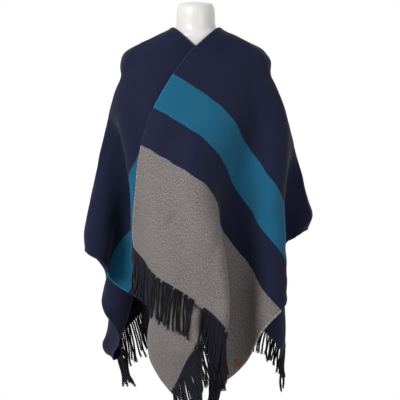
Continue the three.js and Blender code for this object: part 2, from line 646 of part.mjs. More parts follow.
function toSolid({ vertices, faces }) {
  const solid = new wasm.Manifold(new wasm.Mesh({
    numProp: 3,
    vertProperties: new Float32Array(vertices.flat()),
    triVerts: new Uint32Array(faces.flat()),
  }));
  return solid.volume() < 0 ? toSolid({ vertices, faces: faces.map(([a, b, c]) => [a, c, b]) }) : solid;
}
// Corners that all but coincide become one, and the faces that this flattens go.
const SAME_POINT = 0.008;
function welded(vertices, faces) {
  const cells = new Map();
  const cell = v => Math.floor(v / 1);
  const stand = vertices.map((p, k) => {
    const [x, y, z] = p.map(cell);
    for (const dx of [-1, 0, 1]) for (const dy of [-1, 0, 1]) for (const dz of [-1, 0, 1]) {
      for (const q of cells.get([x + dx, y + dy, z + dz].join()) ?? []) {
        const v = vertices[q];
        if (Math.hypot(p[0] - v[0], p[1] - v[1], p[2] - v[2]) < SAME_POINT) return q;
      }
    }
    const id = [x, y, z].join();
    cells.set(id, [...(cells.get(id) ?? []), k]);
    return k;
  });
  const kept = new Map();
  for (const face of faces.map(f => f.map(k => stand[k]))) {
    if (new Set(face).size < 3) continue;
    const id = [...face].sort((a, b) => a - b).join();
    if (kept.has(id)) kept.delete(id);
    else kept.set(id, face);
  }
  const used = [...new Set([...kept.values()].flat())];
  const place = new Map(used.map((k, n) => [k, n]));
  const whole = [...kept.values()].map(face => face.map(k => place.get(k)));
  vertices.splice(0, vertices.length, ...used.map(k => vertices[k]));
  return whole;
}
function addSolid(name, solid, color) {
  const mesh = solid.getMesh();
  const vertices = [];
  for (let k = 0; k < mesh.vertProperties.length; k += mesh.numProp) {
    vertices.push([mesh.vertProperties[k], mesh.vertProperties[k + 1], mesh.vertProperties[k + 2]]);
  }
  const faces = [];
  for (let k = 0; k < mesh.triVerts.length; k += 3) faces.push([...mesh.triVerts.slice(k, k + 3)]);
  return addMesh(name, vertices, welded(vertices, faces), color);
}

const leftFront = wall(columnsOf('left', frontRows), WALL / 2);
const rightFront = wall(columnsOf('right', frontRows).reverse(), WALL / 2);
// The back runs from the right wing, round behind the neck, to the left wing.
const openRows = backRows.filter(j => down[j] > -NECK_HOLE.back);
const closedRows = backRows.filter(j => down[j] <= -NECK_HOLE.back);
function backWall(half) {
  const grid = [...columnsOf('right', backRows).reverse(), ...columnsOf('left', backRows)];
  const made = wall(grid, half);
  const high = backRows.length;
  const wide = grid.length;
  const seamColumn = COLUMNS;
  const used = made.faces.filter(face => {
    const columns = face.map(v => Math.floor(v / high) % wide);
    const rows = face.map(v => v % high);
    const across = columns.includes(seamColumn) && columns.includes(seamColumn + 1);
    return !across;
  });
  const edge = closedRows.length - 1;
  const index = (layer, i, j) => (layer * wide + i) * high + j;
  const merge = v => {
    const layer = Math.floor(v / (wide * high));
    const i = Math.floor(v / high) % wide;
    const j = v % high;
    return i === seamColumn + 1 && j <= edge ? index(layer, seamColumn, j) : v;
  };
  const faces = used.map(face => face.map(merge));
  const strip = (a, b, c, d) => faces.push([a, b, c], [a, c, d]);
  for (let j = edge; j < high - 1; j++) {
    const r = seamColumn;
    const l = seamColumn + 1;
    strip(index(0, r, j), index(0, r, j + 1), index(1, r, j + 1), index(1, r, j));
    strip(index(1, l, j), index(1, l, j + 1), index(0, l, j + 1), index(0, l, j));
  }
  return { vertices: made.vertices, faces: faces.map(face => face.map(merge)) };
}
// Where two stretches come very near, the one that lies on the other is pared back by the seam.
const grown = WALL / 2 + SEAM;
const backSolid = toSolid(backWall(WALL / 2));
const backGrown = toSolid(backWall(grown));
const whole = solid => solid.decompose().sort((a, b) => b.volume() - a.volume())[0];
const leftSolid = whole(toSolid(leftFront).subtract(backGrown));
const rightSolid = whole(toSolid(rightFront).subtract(backGrown));
const leftGrown = toSolid(wall(columnsOf('left', frontRows), grown));
const rightGrown = toSolid(wall(columnsOf('right', frontRows).reverse(), grown));
const grownPanels = [backGrown, leftGrown, rightGrown];
addSolid('back_panel', backSolid, NAVY);
addSolid('front_panel_left', leftSolid, NAVY);
addSolid('front_panel_right', rightSolid, NAVY);

// Fringes.
const hash = n => {
  const v = Math.sin(n * 12.9898) * 43758.5453;
  return v - Math.floor(v);
};
const hemOf = side => Array.from({ length: COLUMNS + 1 }, (_, i) => ({
  k: at(side, i, ROW_COUNT - 1), inner: at(side, i, ROW_COUNT - 2) }));
const backHem = [
  ...Array.from({ length: COLUMNS + 1 }, (_, i) => COLUMNS - i).map(i => ['right', i]),
  ...Array.from({ length: COLUMNS }, (_, i) => i + 1).map(i => ['left', i]),
].map(([side, i]) => ({ k: at(side, i, 0), inner: at(side, i, 1) }));
const HEMS = [
  { name: 'fringe_front_left', hem: hemOf('left'), count: STRANDS.front },
  { name: 'fringe_front_right', hem: hemOf('right').reverse(), count: STRANDS.front },
  { name: 'fringe_back', hem: backHem, count: STRANDS.back },
];
const strands = [];
const strips = HEMS.map(({ name, hem, count }, h) => {
  const edge = hem.map(({ k, inner }) => ({
    p: vec(k), n: normals[k].clone(), out: vec(k).sub(vec(inner)).normalize() }));
  const grid = edge.map(({ p, n, out }) => [SEAM, SEAM + STRANDS.strip].map(d => ({
    p: p.clone().addScaledVector(out, d), n })));
  const lengths = [0];
  for (let k = 1; k < edge.length; k++) lengths.push(lengths[k - 1] + edge[k].p.distanceTo(edge[k - 1].p));
  const total = lengths[lengths.length - 1];
  for (let q = 0; q < count; q++) {
    const along = total * (q + 0.5) / count;
    let k = 1;
    while (k < lengths.length - 1 && lengths[k] < along) k++;
    const u = (along - lengths[k - 1]) / (lengths[k] - lengths[k - 1]);
    const out = edge[k - 1].out.clone().lerp(edge[k].out, u).normalize();
    const root = edge[k - 1].p.clone().lerp(edge[k].p, u).addScaledVector(out, SEAM + STRANDS.strip * 0.55);
    const full = STRANDS.length * (0.93 + 0.14 * hash(q + 100 * h + 1));
    const step = full / STRANDS.parts;
    const lean = new THREE.Vector3(0.12 * (hash(q + 7 * h) - 0.5), 0.12 * (hash(q + 31 * h + 5) - 0.5), -1);
    const nodes = [root];
    for (let m = 1; m <= STRANDS.parts; m++) {
      const way = out.clone().multiplyScalar(m === 1 ? 0.9 : 0.35).add(lean).normalize();
      nodes.push(nodes[m - 1].clone().addScaledVector(way, step));
    }
    strands.push({ h, nodes, step, out });
  }
  const strip = toSolid(wall(grid, WALL / 2));
  const pared = grownPanels.reduce((solid, panel) => solid.subtract(panel), strip);
  return { name, solid: pared.decompose().length === 1 ? pared : strip };
});

// Strands fall, keep their length and stay clear of the cloth and of each other.
const sheetCells = new Map();
const cellKey = p => [p.x, p.y, p.z].map(v => Math.floor(v / 30)).join();
sheet.forEach(t => {
  const [a, b, c] = t.map(vec);
  const low = a.clone().min(b).min(c).subScalar(8);
  const high = a.clone().max(b).max(c).addScalar(8);
  for (let x = Math.floor(low.x / 30); x <= Math.floor(high.x / 30); x++)
    for (let y = Math.floor(low.y / 30); y <= Math.floor(high.y / 30); y++)
      for (let z = Math.floor(low.z / 30); z <= Math.floor(high.z / 30); z++) {
        const id = [x, y, z].join();
        if (!sheetCells.has(id)) sheetCells.set(id, []);
        sheetCells.get(id).push(new THREE.Triangle(a, b, c));
      }
});
function clearCloth(p, distance) {
  for (const triangle of sheetCells.get(cellKey(p)) ?? []) {
    triangle.closestPointToPoint(p, spot);
    const d = spot.distanceTo(p);
    if (d < distance && d > 1e-6) p.addScaledVector(p.clone().sub(spot), 0.6 * (distance - d) / d);
  }
}
const [segA, segB, between] = [new THREE.Vector3(), new THREE.Vector3(), new THREE.Vector3()];
function closestOnSegments(a, b, c, d) {
  let best = null;
  for (let s = 0; s <= 4; s++) {
    segA.lerpVectors(a, b, s / 4);
    const w = d.clone().sub(c);
    const t = Math.min(1, Math.max(0, segA.clone().sub(c).dot(w) / w.lengthSq()));
    segB.lerpVectors(c, d, t);
    const gap = segA.distanceTo(segB);
    if (!best || gap < best.gap) best = { gap, s: s / 4, t, way: segA.clone().sub(segB) };
  }
  return best;
}
for (let round = 0; round < 44; round++) {
  for (const { nodes } of strands) for (let m = 1; m < nodes.length; m++) nodes[m].z -= round < 24 ? 1.2 : 0;
  for (let a = 0; a < strands.length; a++) for (let b = a + 1; b < strands.length; b++) {
    const [A, B] = [strands[a].nodes, strands[b].nodes];
    if (A[0].distanceTo(B[0]) > 190) continue;
    for (let m = 0; m < STRANDS.parts; m++) for (let n = 0; n < STRANDS.parts; n++) {
      if (A[m].distanceTo(B[n]) > 85) continue;
      const near = closestOnSegments(A[m], A[m + 1], B[n], B[n + 1]);
      const wanted = m + n === 0 ? STRANDS.apart - 0.4 : STRANDS.apart;
      if (near.gap >= wanted || near.gap < 1e-6) continue;
      near.way.multiplyScalar(0.5 * (wanted - near.gap) / near.gap);
      if (m > 0) A[m].addScaledVector(near.way, 1 - near.s);
      A[m + 1].addScaledVector(near.way, 0.3 + near.s);
      if (n > 0) B[n].addScaledVector(near.way, near.t - 1);
      B[n + 1].addScaledVector(near.way, -0.3 - near.t);
    }
  }
  for (const { nodes, step } of strands) {
    for (let m = 1; m < nodes.length; m++) {
      clearCloth(nodes[m], STRANDS.radius + WALL / 2 + 1.6);
      for (const share of m === 1 ? [0.35, 0.65] : [0.3, 0.6, 0.8]) {
        const mid = nodes[m].clone().lerp(nodes[m - 1], share);
        const before = mid.clone();
        clearCloth(mid, STRANDS.radius + WALL / 2 + 1.2);
        nodes[m].add(mid.sub(before));
      }
      const way = nodes[m].clone().sub(nodes[m - 1]).normalize();
      nodes[m].copy(nodes[m - 1]).addScaledVector(way, step);
    }
  }
}
function tube(nodes, radius, sides = 3) {
  const vertices = [];
  const faces = [];
  let across = new THREE.Vector3(1, 0.2, 0);
  nodes.forEach((p, m) => {
    const way = nodes[Math.min(m + 1, nodes.length - 1)].clone().sub(nodes[Math.max(m - 1, 0)]).normalize();
    across = across.addScaledVector(way, -across.dot(way)).normalize();
    const up = way.clone().cross(across);
    const r = m === 0 ? 0.7 : radius * (m === nodes.length - 1 ? 0.85 : 1);
    for (let q = 0; q < sides; q++) {
      const a = 2 * Math.PI * q / sides;
      const spoke = across.clone().multiplyScalar(r * Math.cos(a)).addScaledVector(up, r * Math.sin(a));
      vertices.push(p.clone().add(spoke).toArray());
    }
  });
  for (let m = 0; m < nodes.length - 1; m++) for (let q = 0; q < sides; q++) {
    const [a, b] = [m * sides + q, m * sides + (q + 1) % sides];
    faces.push([a, b, b + sides], [a, b + sides, a + sides]);
  }
  const end = (nodes.length - 1) * sides;
  for (let q = 1; q < sides - 1; q++) faces.push([0, q + 1, q], [end, end + q, end + q + 1]);
  return { vertices, faces };
}
// A strand that would still touch cloth or another strand is left out.
const panels = [backSolid, leftSolid, rightSolid];
const kept = [];
for (const strand of strands) {
  const solid = toSolid(tube(strand.nodes, STRANDS.radius));
  const near = kept.filter(k => k.nodes[0].distanceTo(strand.nodes[0]) < 220);
  const others = [...panels, ...strips.filter((s, h) => h !== strand.h).map(s => s.solid)];
  const clear = others.every(s => s.minGap(solid, 1) > 0.3) && near.every(k => k.solid.minGap(solid, 1) > 0.3);
  if (clear) kept.push({ ...strand, solid });
}
strips.forEach(({ name, solid }, h) => {
  const tubes = kept.filter(strand => strand.h === h).map(strand => strand.solid);
  addSolid(name, wasm.Manifold.union([solid, ...tubes]), NAVY);
});

// Leather tab on the left front.
function clothPoint(side, out, s) {
  const p = new THREE.Vector3();
  const n = new THREE.Vector3();
  for (const [k, share] of clothWeights(side, out, s)) {
    p.addScaledVector(vec(k), share);
    n.addScaledVector(normals[k], share);
  }
  return { p, n: n.normalize() };
}
const outside = normals[at('left', 10, ROWS + 10)].y < 0 ? 1 : -1;
const tabGrid = [-1, 0, 1].map(u => [-1, 0, 1].map(v => {
  const { p, n } = clothPoint('left', TAB.out + u * TAB.width / 2, TAB.down + v * TAB.height / 2);
  return { p: p.addScaledVector(n, outside * (WALL / 2 + SEAM + 0.05 + TAB.thick / 2)), n };
}));
addSolid('leather_tab', toSolid(wall(tabGrid, TAB.thick / 2)), 0x8a5230);

// Dress form, pole and base.
const heights = [];
for (let k = 0; k < FORM.length - 1; k++) {
  const steps = Math.max(1, Math.ceil((FORM[k + 1][0] - FORM[k][0]) / 42));
  for (let q = 0; q < steps; q++) heights.push(FORM[k][0] + (FORM[k + 1][0] - FORM[k][0]) * q / steps);
}
heights.push(FORM_TOP);
function formSolid() {
  const vertices = [];
  const faces = [];
  const ring = (z, scale) => {
    const [a, b, c] = section(z);
    for (let q = 0; q < FORM_SIDES; q++) {
      const angle = 2 * Math.PI * q / FORM_SIDES;
      const [wide, deep] = [a.value * scale - FORM_INSET, b.value * scale - FORM_INSET];
      vertices.push([wide * Math.cos(angle), c.value + deep * Math.sin(angle), z]);
    }
  };
  heights.forEach(z => ring(z, 1));
  vertices.push([0, FORM[0][3], FORM_BOTTOM], [0, 0, FORM_TOP + 4]);
  const [bottom, top] = [vertices.length - 2, vertices.length - 1];
  for (let m = 0; m < heights.length - 1; m++) for (let q = 0; q < FORM_SIDES; q++) {
    const [a, b] = [m * FORM_SIDES + q, m * FORM_SIDES + (q + 1) % FORM_SIDES];
    faces.push([a, b, b + FORM_SIDES], [a, b + FORM_SIDES, a + FORM_SIDES]);
  }
  const last = (heights.length - 1) * FORM_SIDES;
  for (let q = 0; q < FORM_SIDES; q++) {
    const next = (q + 1) % FORM_SIDES;
    faces.push([bottom, next, q], [top, last + q, last + next]);
  }
  return toSolid({ vertices, faces });
}
addSolid('form_body', formSolid(), 0xe9e6e2);

for (const mesh of group.children) mesh.geometry.translate(BODY_X, 0, 0);
function addTurned(name, profile, color) {
  const points = profile.map(([r, z]) => new THREE.Vector2(r, z));
  const geometry = new THREE.LatheGeometry(points, 48);
  geometry.rotateX(Math.PI / 2);
  const mesh = new THREE.Mesh(geometry, new THREE.MeshStandardMaterial({ color }));
  mesh.name = name;
  group.add(mesh);
}
const { radius, height, edge } = BASE;
addTurned('pole', [
  [0, POLE.bottom], [POLE.radius, POLE.bottom], [POLE.radius, POLE.top], [0, POLE.top]], 0x111111);
addTurned('base_plate', [
  [0, 0], [radius, 0], [radius, height - edge], [radius - edge, height], [0, height]], 0x111111);

export default group;
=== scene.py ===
# %% [markdown]
# # A striped wool poncho on a dress form
# The garment is one blanket of felted wool, slit from the front hem to the neck. It is built as
# three panels, the back and two fronts that overlap, and each of their hems carries a fringe.
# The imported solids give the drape. This script makes the fine cloth, yarn and stitches on them.

# %% The frame and the box that its solids fill
import json
import math

import bmesh
import bpy
import numpy as np
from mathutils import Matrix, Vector

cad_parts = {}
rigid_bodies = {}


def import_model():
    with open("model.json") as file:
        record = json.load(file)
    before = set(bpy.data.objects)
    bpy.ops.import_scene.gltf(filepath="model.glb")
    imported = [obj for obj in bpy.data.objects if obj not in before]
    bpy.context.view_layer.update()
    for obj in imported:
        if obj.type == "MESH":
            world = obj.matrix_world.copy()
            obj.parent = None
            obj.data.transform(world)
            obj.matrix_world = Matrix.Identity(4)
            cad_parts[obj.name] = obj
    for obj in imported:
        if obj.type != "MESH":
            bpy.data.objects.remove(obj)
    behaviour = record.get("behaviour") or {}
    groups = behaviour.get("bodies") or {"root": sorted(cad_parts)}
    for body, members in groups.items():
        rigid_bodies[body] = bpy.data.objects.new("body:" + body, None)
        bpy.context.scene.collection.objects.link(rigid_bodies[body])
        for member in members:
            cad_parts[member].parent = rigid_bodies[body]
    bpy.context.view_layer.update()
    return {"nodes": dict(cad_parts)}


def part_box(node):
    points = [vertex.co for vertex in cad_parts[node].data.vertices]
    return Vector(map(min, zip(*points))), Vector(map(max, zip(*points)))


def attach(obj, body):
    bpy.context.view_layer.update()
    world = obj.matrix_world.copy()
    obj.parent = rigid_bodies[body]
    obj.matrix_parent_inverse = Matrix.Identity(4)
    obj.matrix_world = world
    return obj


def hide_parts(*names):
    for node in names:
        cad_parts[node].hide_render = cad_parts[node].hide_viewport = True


for thing in list(bpy.data.objects):
    bpy.data.objects.remove(thing)
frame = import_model()

# %% [markdown]
# The camera stands in front of the garment and a little above its middle, a long way off.
# A long lens keeps the picture almost free of perspective, as the garment is seen in a catalogue.

# %% Camera
VIEW = {"target": (0.0055, 0.0, 0.966), "elevation": 6.0, "distance": 10.0, "field": 1.1}

scene = bpy.context.scene
camera_data = bpy.data.cameras.new("camera")
camera_data.sensor_width = 36.0
camera_data.lens = camera_data.sensor_width * VIEW["distance"] / VIEW["field"]
camera_data.clip_end = 60.0
camera = bpy.data.objects.new("camera", camera_data)
scene.collection.objects.link(camera)
tilt = math.radians(VIEW["elevation"])
towards = Vector((0.0, -math.cos(tilt), math.sin(tilt)))
camera.location = Vector(VIEW["target"]) + towards * VIEW["distance"]
camera.rotation_mode = "QUATERNION"
camera.rotation_quaternion = towards.to_track_quat("Z", "Y")
scene.camera = camera
print("camera at", [round(v, 3) for v in camera.location])

# %% [markdown]
# Two small classes keep node trees readable.
# A Wire is a socket that can stand in a sum: `wire * 2 + 1` adds the Math nodes that work it out.
# A Graph adds any other node, with its settings first and the values of its sockets after them.

# %% Two helpers for node trees
class Wire:
    def __init__(self, graph, socket):
        self.graph = graph
        self.socket = socket

    def sum(self, operation, *values):
        return self.graph.node("ShaderNodeMath", {"operation": operation}, list(values))

    def __add__(self, other):
        return self.sum("ADD", self, other)

    def __radd__(self, other):
        return self.sum("ADD", other, self)

    def __sub__(self, other):
        return self.sum("SUBTRACT", self, other)

    def __rsub__(self, other):
        return self.sum("SUBTRACT", other, self)

    def __mul__(self, other):
        return self.sum("MULTIPLY", self, other)

    def __truediv__(self, other):
        return self.sum("DIVIDE", self, other)

    def above(self, edge, soft):
        """0 below the edge and 1 above it, with a soft step between."""
        return self.graph.node(
            "ShaderNodeMapRange", {"interpolation_type": "SMOOTHSTEP"},
            [self, edge - soft, edge + soft, 0.0, 1.0])


class Graph:
    def __init__(self, tree):
        self.tree = tree
        tree.nodes.clear()

    def feed(self, socket, value):
        if isinstance(value, Wire):
            self.tree.links.new(value.socket, socket)
        else:
            socket.default_value = value

    def node(self, kind, settings=None, values=(), out=0):
        made = self.tree.nodes.new(kind)
        for name, value in (settings or {}).items():
            setattr(made, name, value)
        pairs = values.items() if isinstance(values, dict) else enumerate(values)
        for name, value in pairs:
            self.feed(made.inputs[name], value)
        return Wire(self, made.outputs[out]) if made.outputs else made

    def mix(self, share, first, second):
        return self.node(
            "ShaderNodeMix", {"data_type": "RGBA"}, {0: share, 6: first, 7: second}, out=2)

    def shade(self, color, share):
        """The colour times a grey value that changes over the surface."""
        grey = self.node("ShaderNodeCombineXYZ", None, [share, share, share])
        return self.node("ShaderNodeVectorMath", {"operation": "MULTIPLY"}, [color, grey])

    def noise(self, vector, scale, detail=2.0, roughness=0.5):
        return self.node(
            "ShaderNodeTexNoise", None,
            {"Vector": vector, "Scale": scale, "Detail": detail, "Roughness": roughness})

    def stretched(self, vector, factors):
        return self.node(
            "ShaderNodeVectorMath", {"operation": "MULTIPLY"}, [vector, factors])


def linear(red, green, blue):
    """A screen colour, 0 to 255, as the linear colour that shaders work with."""
    def one(value):
        value /= 255.0
        return value / 12.92 if value <= 0.04045 else ((value + 0.055) / 1.055) ** 2.4
    return (one(red), one(green), one(blue), 1.0)


def new_material(name, build, **fixed):
    """build(graph) returns what changes over the surface; the fixed values don't."""
    material = bpy.data.materials.new(name)
    material.use_nodes = True
    graph = Graph(material.node_tree)
    sockets = build(graph)
    sockets.update({key.replace("_", " "): value for key, value in fixed.items()})
    shader = graph.node("ShaderNodeBsdfPrincipled", None, sockets)
    graph.node("ShaderNodeOutputMaterial", None, {"Surface": shader})
    print("material", name, "with", len(material.node_tree.nodes), "nodes")
    return material


# %% [markdown]
# The cloth is woven in broad bands that run parallel to the hems of the fronts.
# Every point of the fine cloth knows where it lies on the flat cut: so far out from the centre
# line, and so far down from the shoulder. The bands follow that, so they bend with each fold.

# %% The sizes of the cut, in metres
BANDS = {"teal": 0.200, "navy": 0.303, "grey": 0.406}
CUT = {"left": 0.706, "right": 0.752, "front": 0.700, "back": 0.655}
NECK = {"wide": 0.048, "back": 0.070, "front": 0.130}
CELLS = 20
WALL = 0.0022
print("the cloth is", CUT["left"] + CUT["right"], "m wide and", CUT["front"] + CUT["back"], "m long")

# %% Wool
WOOL = {
    "navy": linear(17, 20, 38), "teal": linear(17, 66, 90), "grey": linear(84, 80, 79),
    "grey fleck": linear(134, 128, 124), "dark fleck": linear(50, 47, 47),
}
# Lengths are in metres; "light from" and "dark to" are levels of the noise that makes the flecks.
WEAVE = {
    "waver": 0.0016, "soft": 0.0009, "grey soft": 0.0012,
    "fleck": (1.0, 0.35, 1.0), "light from": 0.60, "dark to": 0.40, "fleck soft": 0.09,
    "nap": (1.0, 0.30, 1.0), "twill": 0.0034, "slant": 1.6, "bump": 0.22, "bump height": 0.0006,
}


def banded(graph, cloth):
    """Colour by the place on the cut, with the faint waver of a woven edge."""
    parts = graph.node("ShaderNodeSeparateXYZ", None, [cloth])
    down = Wire(graph, parts.socket.node.outputs[1])
    waver = (graph.noise(cloth, 260.0, 1.0) - 0.5) * WEAVE["waver"]
    down = down + waver
    flecks = graph.noise(graph.stretched(cloth, WEAVE["fleck"]), 620.0, 3.0, 0.7)
    light = flecks.above(WEAVE["light from"], WEAVE["fleck soft"])
    grey = graph.mix(light, WOOL["grey"], WOOL["grey fleck"])
    dark = 1.0 - flecks.above(WEAVE["dark to"], WEAVE["fleck soft"])
    grey = graph.mix(dark, grey, WOOL["dark fleck"])
    color = graph.mix(down.above(BANDS["teal"], WEAVE["soft"]), WOOL["navy"], WOOL["teal"])
    color = graph.mix(down.above(BANDS["navy"], WEAVE["soft"]), color, WOOL["navy"])
    return graph.mix(down.above(BANDS["grey"], WEAVE["grey soft"]), color, grey)


def wool_nodes(graph):
    cloth = graph.node("ShaderNodeAttribute", {"attribute_name": "cloth"}, out=1)
    parts = graph.node("ShaderNodeSeparateXYZ", None, [cloth]).socket.node
    out, down = Wire(graph, parts.outputs[0]), Wire(graph, parts.outputs[1])
    cloudy = graph.noise(cloth, 9.0, 3.0, 0.6)
    brushed = graph.noise(graph.stretched(cloth, WEAVE["nap"]), 760.0, 3.0, 0.65)
    fibres = graph.noise(cloth, 1500.0, 2.0, 0.7)
    diagonal = (out + down * WEAVE["slant"]) * (2 * math.pi / WEAVE["twill"])
    twill = diagonal.sum("SINE", diagonal)
    share = 0.66 + cloudy * 0.24 + brushed * 0.26 + fibres * 0.18
    height = twill * 0.20 + brushed * 0.7 + fibres * 0.7
    normal = graph.node(
        "ShaderNodeBump", None,
        {"Strength": WEAVE["bump"], "Distance": WEAVE["bump height"], "Height": height})
    return {
        "Base Color": graph.shade(banded(graph, cloth), share),
        "Roughness": 0.86 + brushed * 0.12,
        "Normal": normal,
    }


wool = new_material(
    "felted_wool", wool_nodes,
    Sheen_Weight=0.03, Sheen_Roughness=0.5, Specular_IOR_Level=0.08)

# %% [markdown]
# The yarn of the fringe is the navy warp left long and twisted in pairs. The stitches that bind the
# plain edges take the colour of the band beside them, painted lighter as a painted highlight where they
# catch the light.

# %% Yarn and edge thread
def yarn_nodes(graph):
    tone = graph.node("ShaderNodeAttribute", {"attribute_name": "tone"}, out=2)
    place = graph.node("ShaderNodeTexCoord", out=3)
    fuzz = graph.noise(place, 1400.0, 3.0, 0.7)
    normal = graph.node("ShaderNodeBump", None, {"Strength": 0.6, "Distance": 0.0005, "Height": fuzz})
    color = graph.mix(tone, linear(4, 4, 8), linear(13, 14, 25))
    return {"Base Color": graph.shade(color, 0.7 + fuzz * 0.6), "Roughness": 0.82 + fuzz * 0.14,
            "Normal": normal}


def thread_painted_highlight_nodes(graph):
    cloth = graph.node("ShaderNodeAttribute", {"attribute_name": "cloth"}, out=1)
    fuzz = graph.noise(cloth, 2200.0, 2.0, 0.6)
    normal = graph.node("ShaderNodeBump", None, {"Strength": 0.5, "Distance": 0.0003, "Height": fuzz})
    # Painted highlight: the band colour is lifted two to three times; the fuzz noise in the lift also
    # varies the fibres' own tone.
    return {"Base Color": graph.shade(banded(graph, cloth), 1.9 + fuzz * 1.4),
            "Roughness": 0.75 + fuzz * 0.15, "Normal": normal}


yarn = new_material("navy_yarn_twist", yarn_nodes, Sheen_Weight=0.05, Specular_IOR_Level=0.12)
thread = new_material("edge_thread_painted_highlight", thread_painted_highlight_nodes, Specular_IOR_Level=0.3)

# %% [markdown]
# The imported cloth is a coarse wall: two layers of triangles on a regular lattice, joined by a rim.
# To lay fine cloth on it, the lattice has to be found again. The rim goes first, because each of its
# triangles has an edge as short as the wall is thick. Then a walk from triangle to triangle counts
# the steps: across an edge p-q, the corner r of one triangle faces the corner p + q - r of the next.

# %% Finding the lattice in a packed wall
WELD = 1e-5
RIM_EDGE = 1.4 * WALL
LEAST_LAYER = 200
ORDERS = [(0, 1, 2), (1, 2, 0), (2, 0, 1), (0, 2, 1), (2, 1, 0), (1, 0, 2)]


def clean_arrays(name):
    mesh = bmesh.new()
    mesh.from_mesh(frame["nodes"][name].data)
    bmesh.ops.remove_doubles(mesh, verts=mesh.verts, dist=WELD)
    bmesh.ops.triangulate(mesh, faces=mesh.faces)
    mesh.verts.index_update()
    points = np.array([v.co[:] for v in mesh.verts])
    faces = [tuple(v.index for v in f.verts) for f in mesh.faces]
    mesh.free()
    return points, faces


def without_rim(points, faces):
    kept = []
    for face in faces:
        corners = points[list(face)]
        sides = np.linalg.norm(corners - np.roll(corners, 1, axis=0), axis=1)
        if sides.min() > RIM_EDGE:
            kept.append(face)
    return kept


def edge_map(faces):
    edges = {}
    for n, face in enumerate(faces):
        for k in range(3):
            edges.setdefault(frozenset((face[k], face[(k + 1) % 3])), []).append(n)
    return edges


def walk(faces, edges, start, order):
    steps = np.array([[0, 0], [1, 0], [1, 1]])
    placed = {start: {faces[start][k]: tuple(steps[order[k]]) for k in range(3)}}
    queue = [start]
    for n in queue:
        here = placed[n]
        for k in range(3):
            r, p, q = (faces[n][(k + m) % 3] for m in range(3))
            for other in edges[frozenset((p, q))]:
                if other in placed:
                    continue
                s = next(v for v in faces[other] if v not in (p, q))
                step = tuple(int(here[p][c] + here[q][c] - here[r][c]) for c in range(2))
                placed[other] = {p: here[p], q: here[q], s: step}
                queue.append(other)
    return placed


def layers(name):
    """The layers of a wall: its points, and for each layer the lattice place of every corner."""
    points, faces = clean_arrays(name)
    faces = without_rim(points, faces)
    edges = edge_map(faces)
    left = set(range(len(faces)))
    found = []
    while left:
        group = walk(faces, edges, min(left), ORDERS[0])
        left -= set(group)
        if len(group) < LEAST_LAYER:
            continue
        middle = points[[v for n in group for v in faces[n]]].mean(axis=0)
        start = min(group, key=lambda n: np.linalg.norm(points[list(faces[n])].mean(axis=0) - middle))
        best = None
        for order in ORDERS:
            placed = walk(faces, edges, start, order)
            steps = np.array([s for face in placed.values() for s in face.values()])
            low, high = steps.min(axis=0), steps.max(axis=0)
            filled = len(set(map(tuple, steps))) / np.prod(high - low + 1)
            if best is None or filled > best[0]:
                best = (filled, placed, low, high)
        found.append((points, best))
        print(name, "layer filled %.3f" % best[0], "size", best[3] - best[2] + 1)
    return found


# %% [markdown]
# The walk says how the triangles follow one another, but not which end of the lattice is the hem.
# The place of the corners tells that: the far corner of a front hangs lowest, and from there one
# row of steps leads up the side edge to the wing tip and the other along the hem to the opening.

# %% Grids of points between the two layers of each wall
def points_at(points, placed):
    at = {}
    for face in placed.values():
        for vertex, step in face.items():
            at.setdefault(step, points[vertex])
    return at


def front_grid(node, sign):
    total = np.zeros((CELLS + 1, CELLS + 1, 3))
    count = np.zeros((CELLS + 1, CELLS + 1))
    for points, (_, placed, low, high) in layers(node):
        at = points_at(points, placed)
        corners = [(a, b) for a in (low[0], high[0]) for b in (low[1], high[1]) if (a, b) in at]
        far = min(corners, key=lambda step: at[step][2])
        way = [1 if far[c] == low[c] else -1 for c in (0, 1)]
        ends = [at[(far[0] + CELLS * way[0], far[1])], at[(far[0], far[1] + CELLS * way[1])]]
        row = 0 if sign * ends[0][0] > sign * ends[1][0] else 1
        for step, point in at.items():
            i = CELLS - abs(step[1 - row] - far[1 - row])
            j = CELLS - abs(step[row] - far[row])
            if min(i, j) >= 0:
                total[i, j] += point
                count[i, j] += 1
    total[count > 0] /= count[count > 0][:, None]
    return total, count


def back_grids(node):
    total = {side: np.zeros((CELLS + 1, CELLS + 1, 3)) for side in ("left", "right")}
    count = {side: np.zeros((CELLS + 1, CELLS + 1)) for side in ("left", "right")}
    for points, (_, placed, low, high) in layers(node):
        at = points_at(points, placed)
        across = int(np.argmax(high - low))
        rows = 1 - across

        def mean(axis, value, coordinate):
            return np.mean([p[coordinate] for step, p in at.items() if step[axis] == value])

        hem = low[rows] if mean(rows, low[rows], 2) < mean(rows, high[rows], 2) else high[rows]
        turn = 1 if mean(across, low[across], 0) < mean(across, high[across], 0) else -1
        seen = {side: {} for side in total}
        for face in placed.values():
            place = {v: ((step[across] - low[across] - CELLS) * turn, CELLS - abs(step[rows] - hem))
                     for v, step in face.items()}
            for side, sign in (("left", 1), ("right", -1)):
                if all(c * sign >= 0 for c, _ in place.values()):
                    for v, (c, j) in place.items():
                        seen[side][abs(c), j] = points[v]
        for side in seen:
            for (i, j), point in seen[side].items():
                total[side][i, j] += point
                count[side][i, j] += 1
    for side in total:
        total[side] /= np.maximum(count[side], 1)[..., None]
    return total


back = back_grids("back_panel")
front = {}
for side, sign in (("left", 1), ("right", -1)):
    grid, count = front_grid("front_panel_" + side, sign)
    missing = (count == 0)
    grid[missing] = back[side][missing]
    front[side] = grid
    print(side, "front: lowest", grid[..., 2].min().round(3), "points missing", int(missing.sum()))

# %% [markdown]
# Each lattice point gets its place on the flat cut. The coarse lattice is then refined with a
# Catmull-Rom spline in both directions, which passes through every point and rounds the folds.

# %% Fine grids
REFINE = 6
SEWN = 1e-4


def spread(share):
    return 0.5 * share + 0.5 * share ** 1.5


def hole_edge(down):
    if down < 0:
        return NECK["wide"] * math.sqrt(max(0.0, 1 - (down / NECK["back"]) ** 2))
    return NECK["wide"] * max(0.0, 1 - down / NECK["front"])


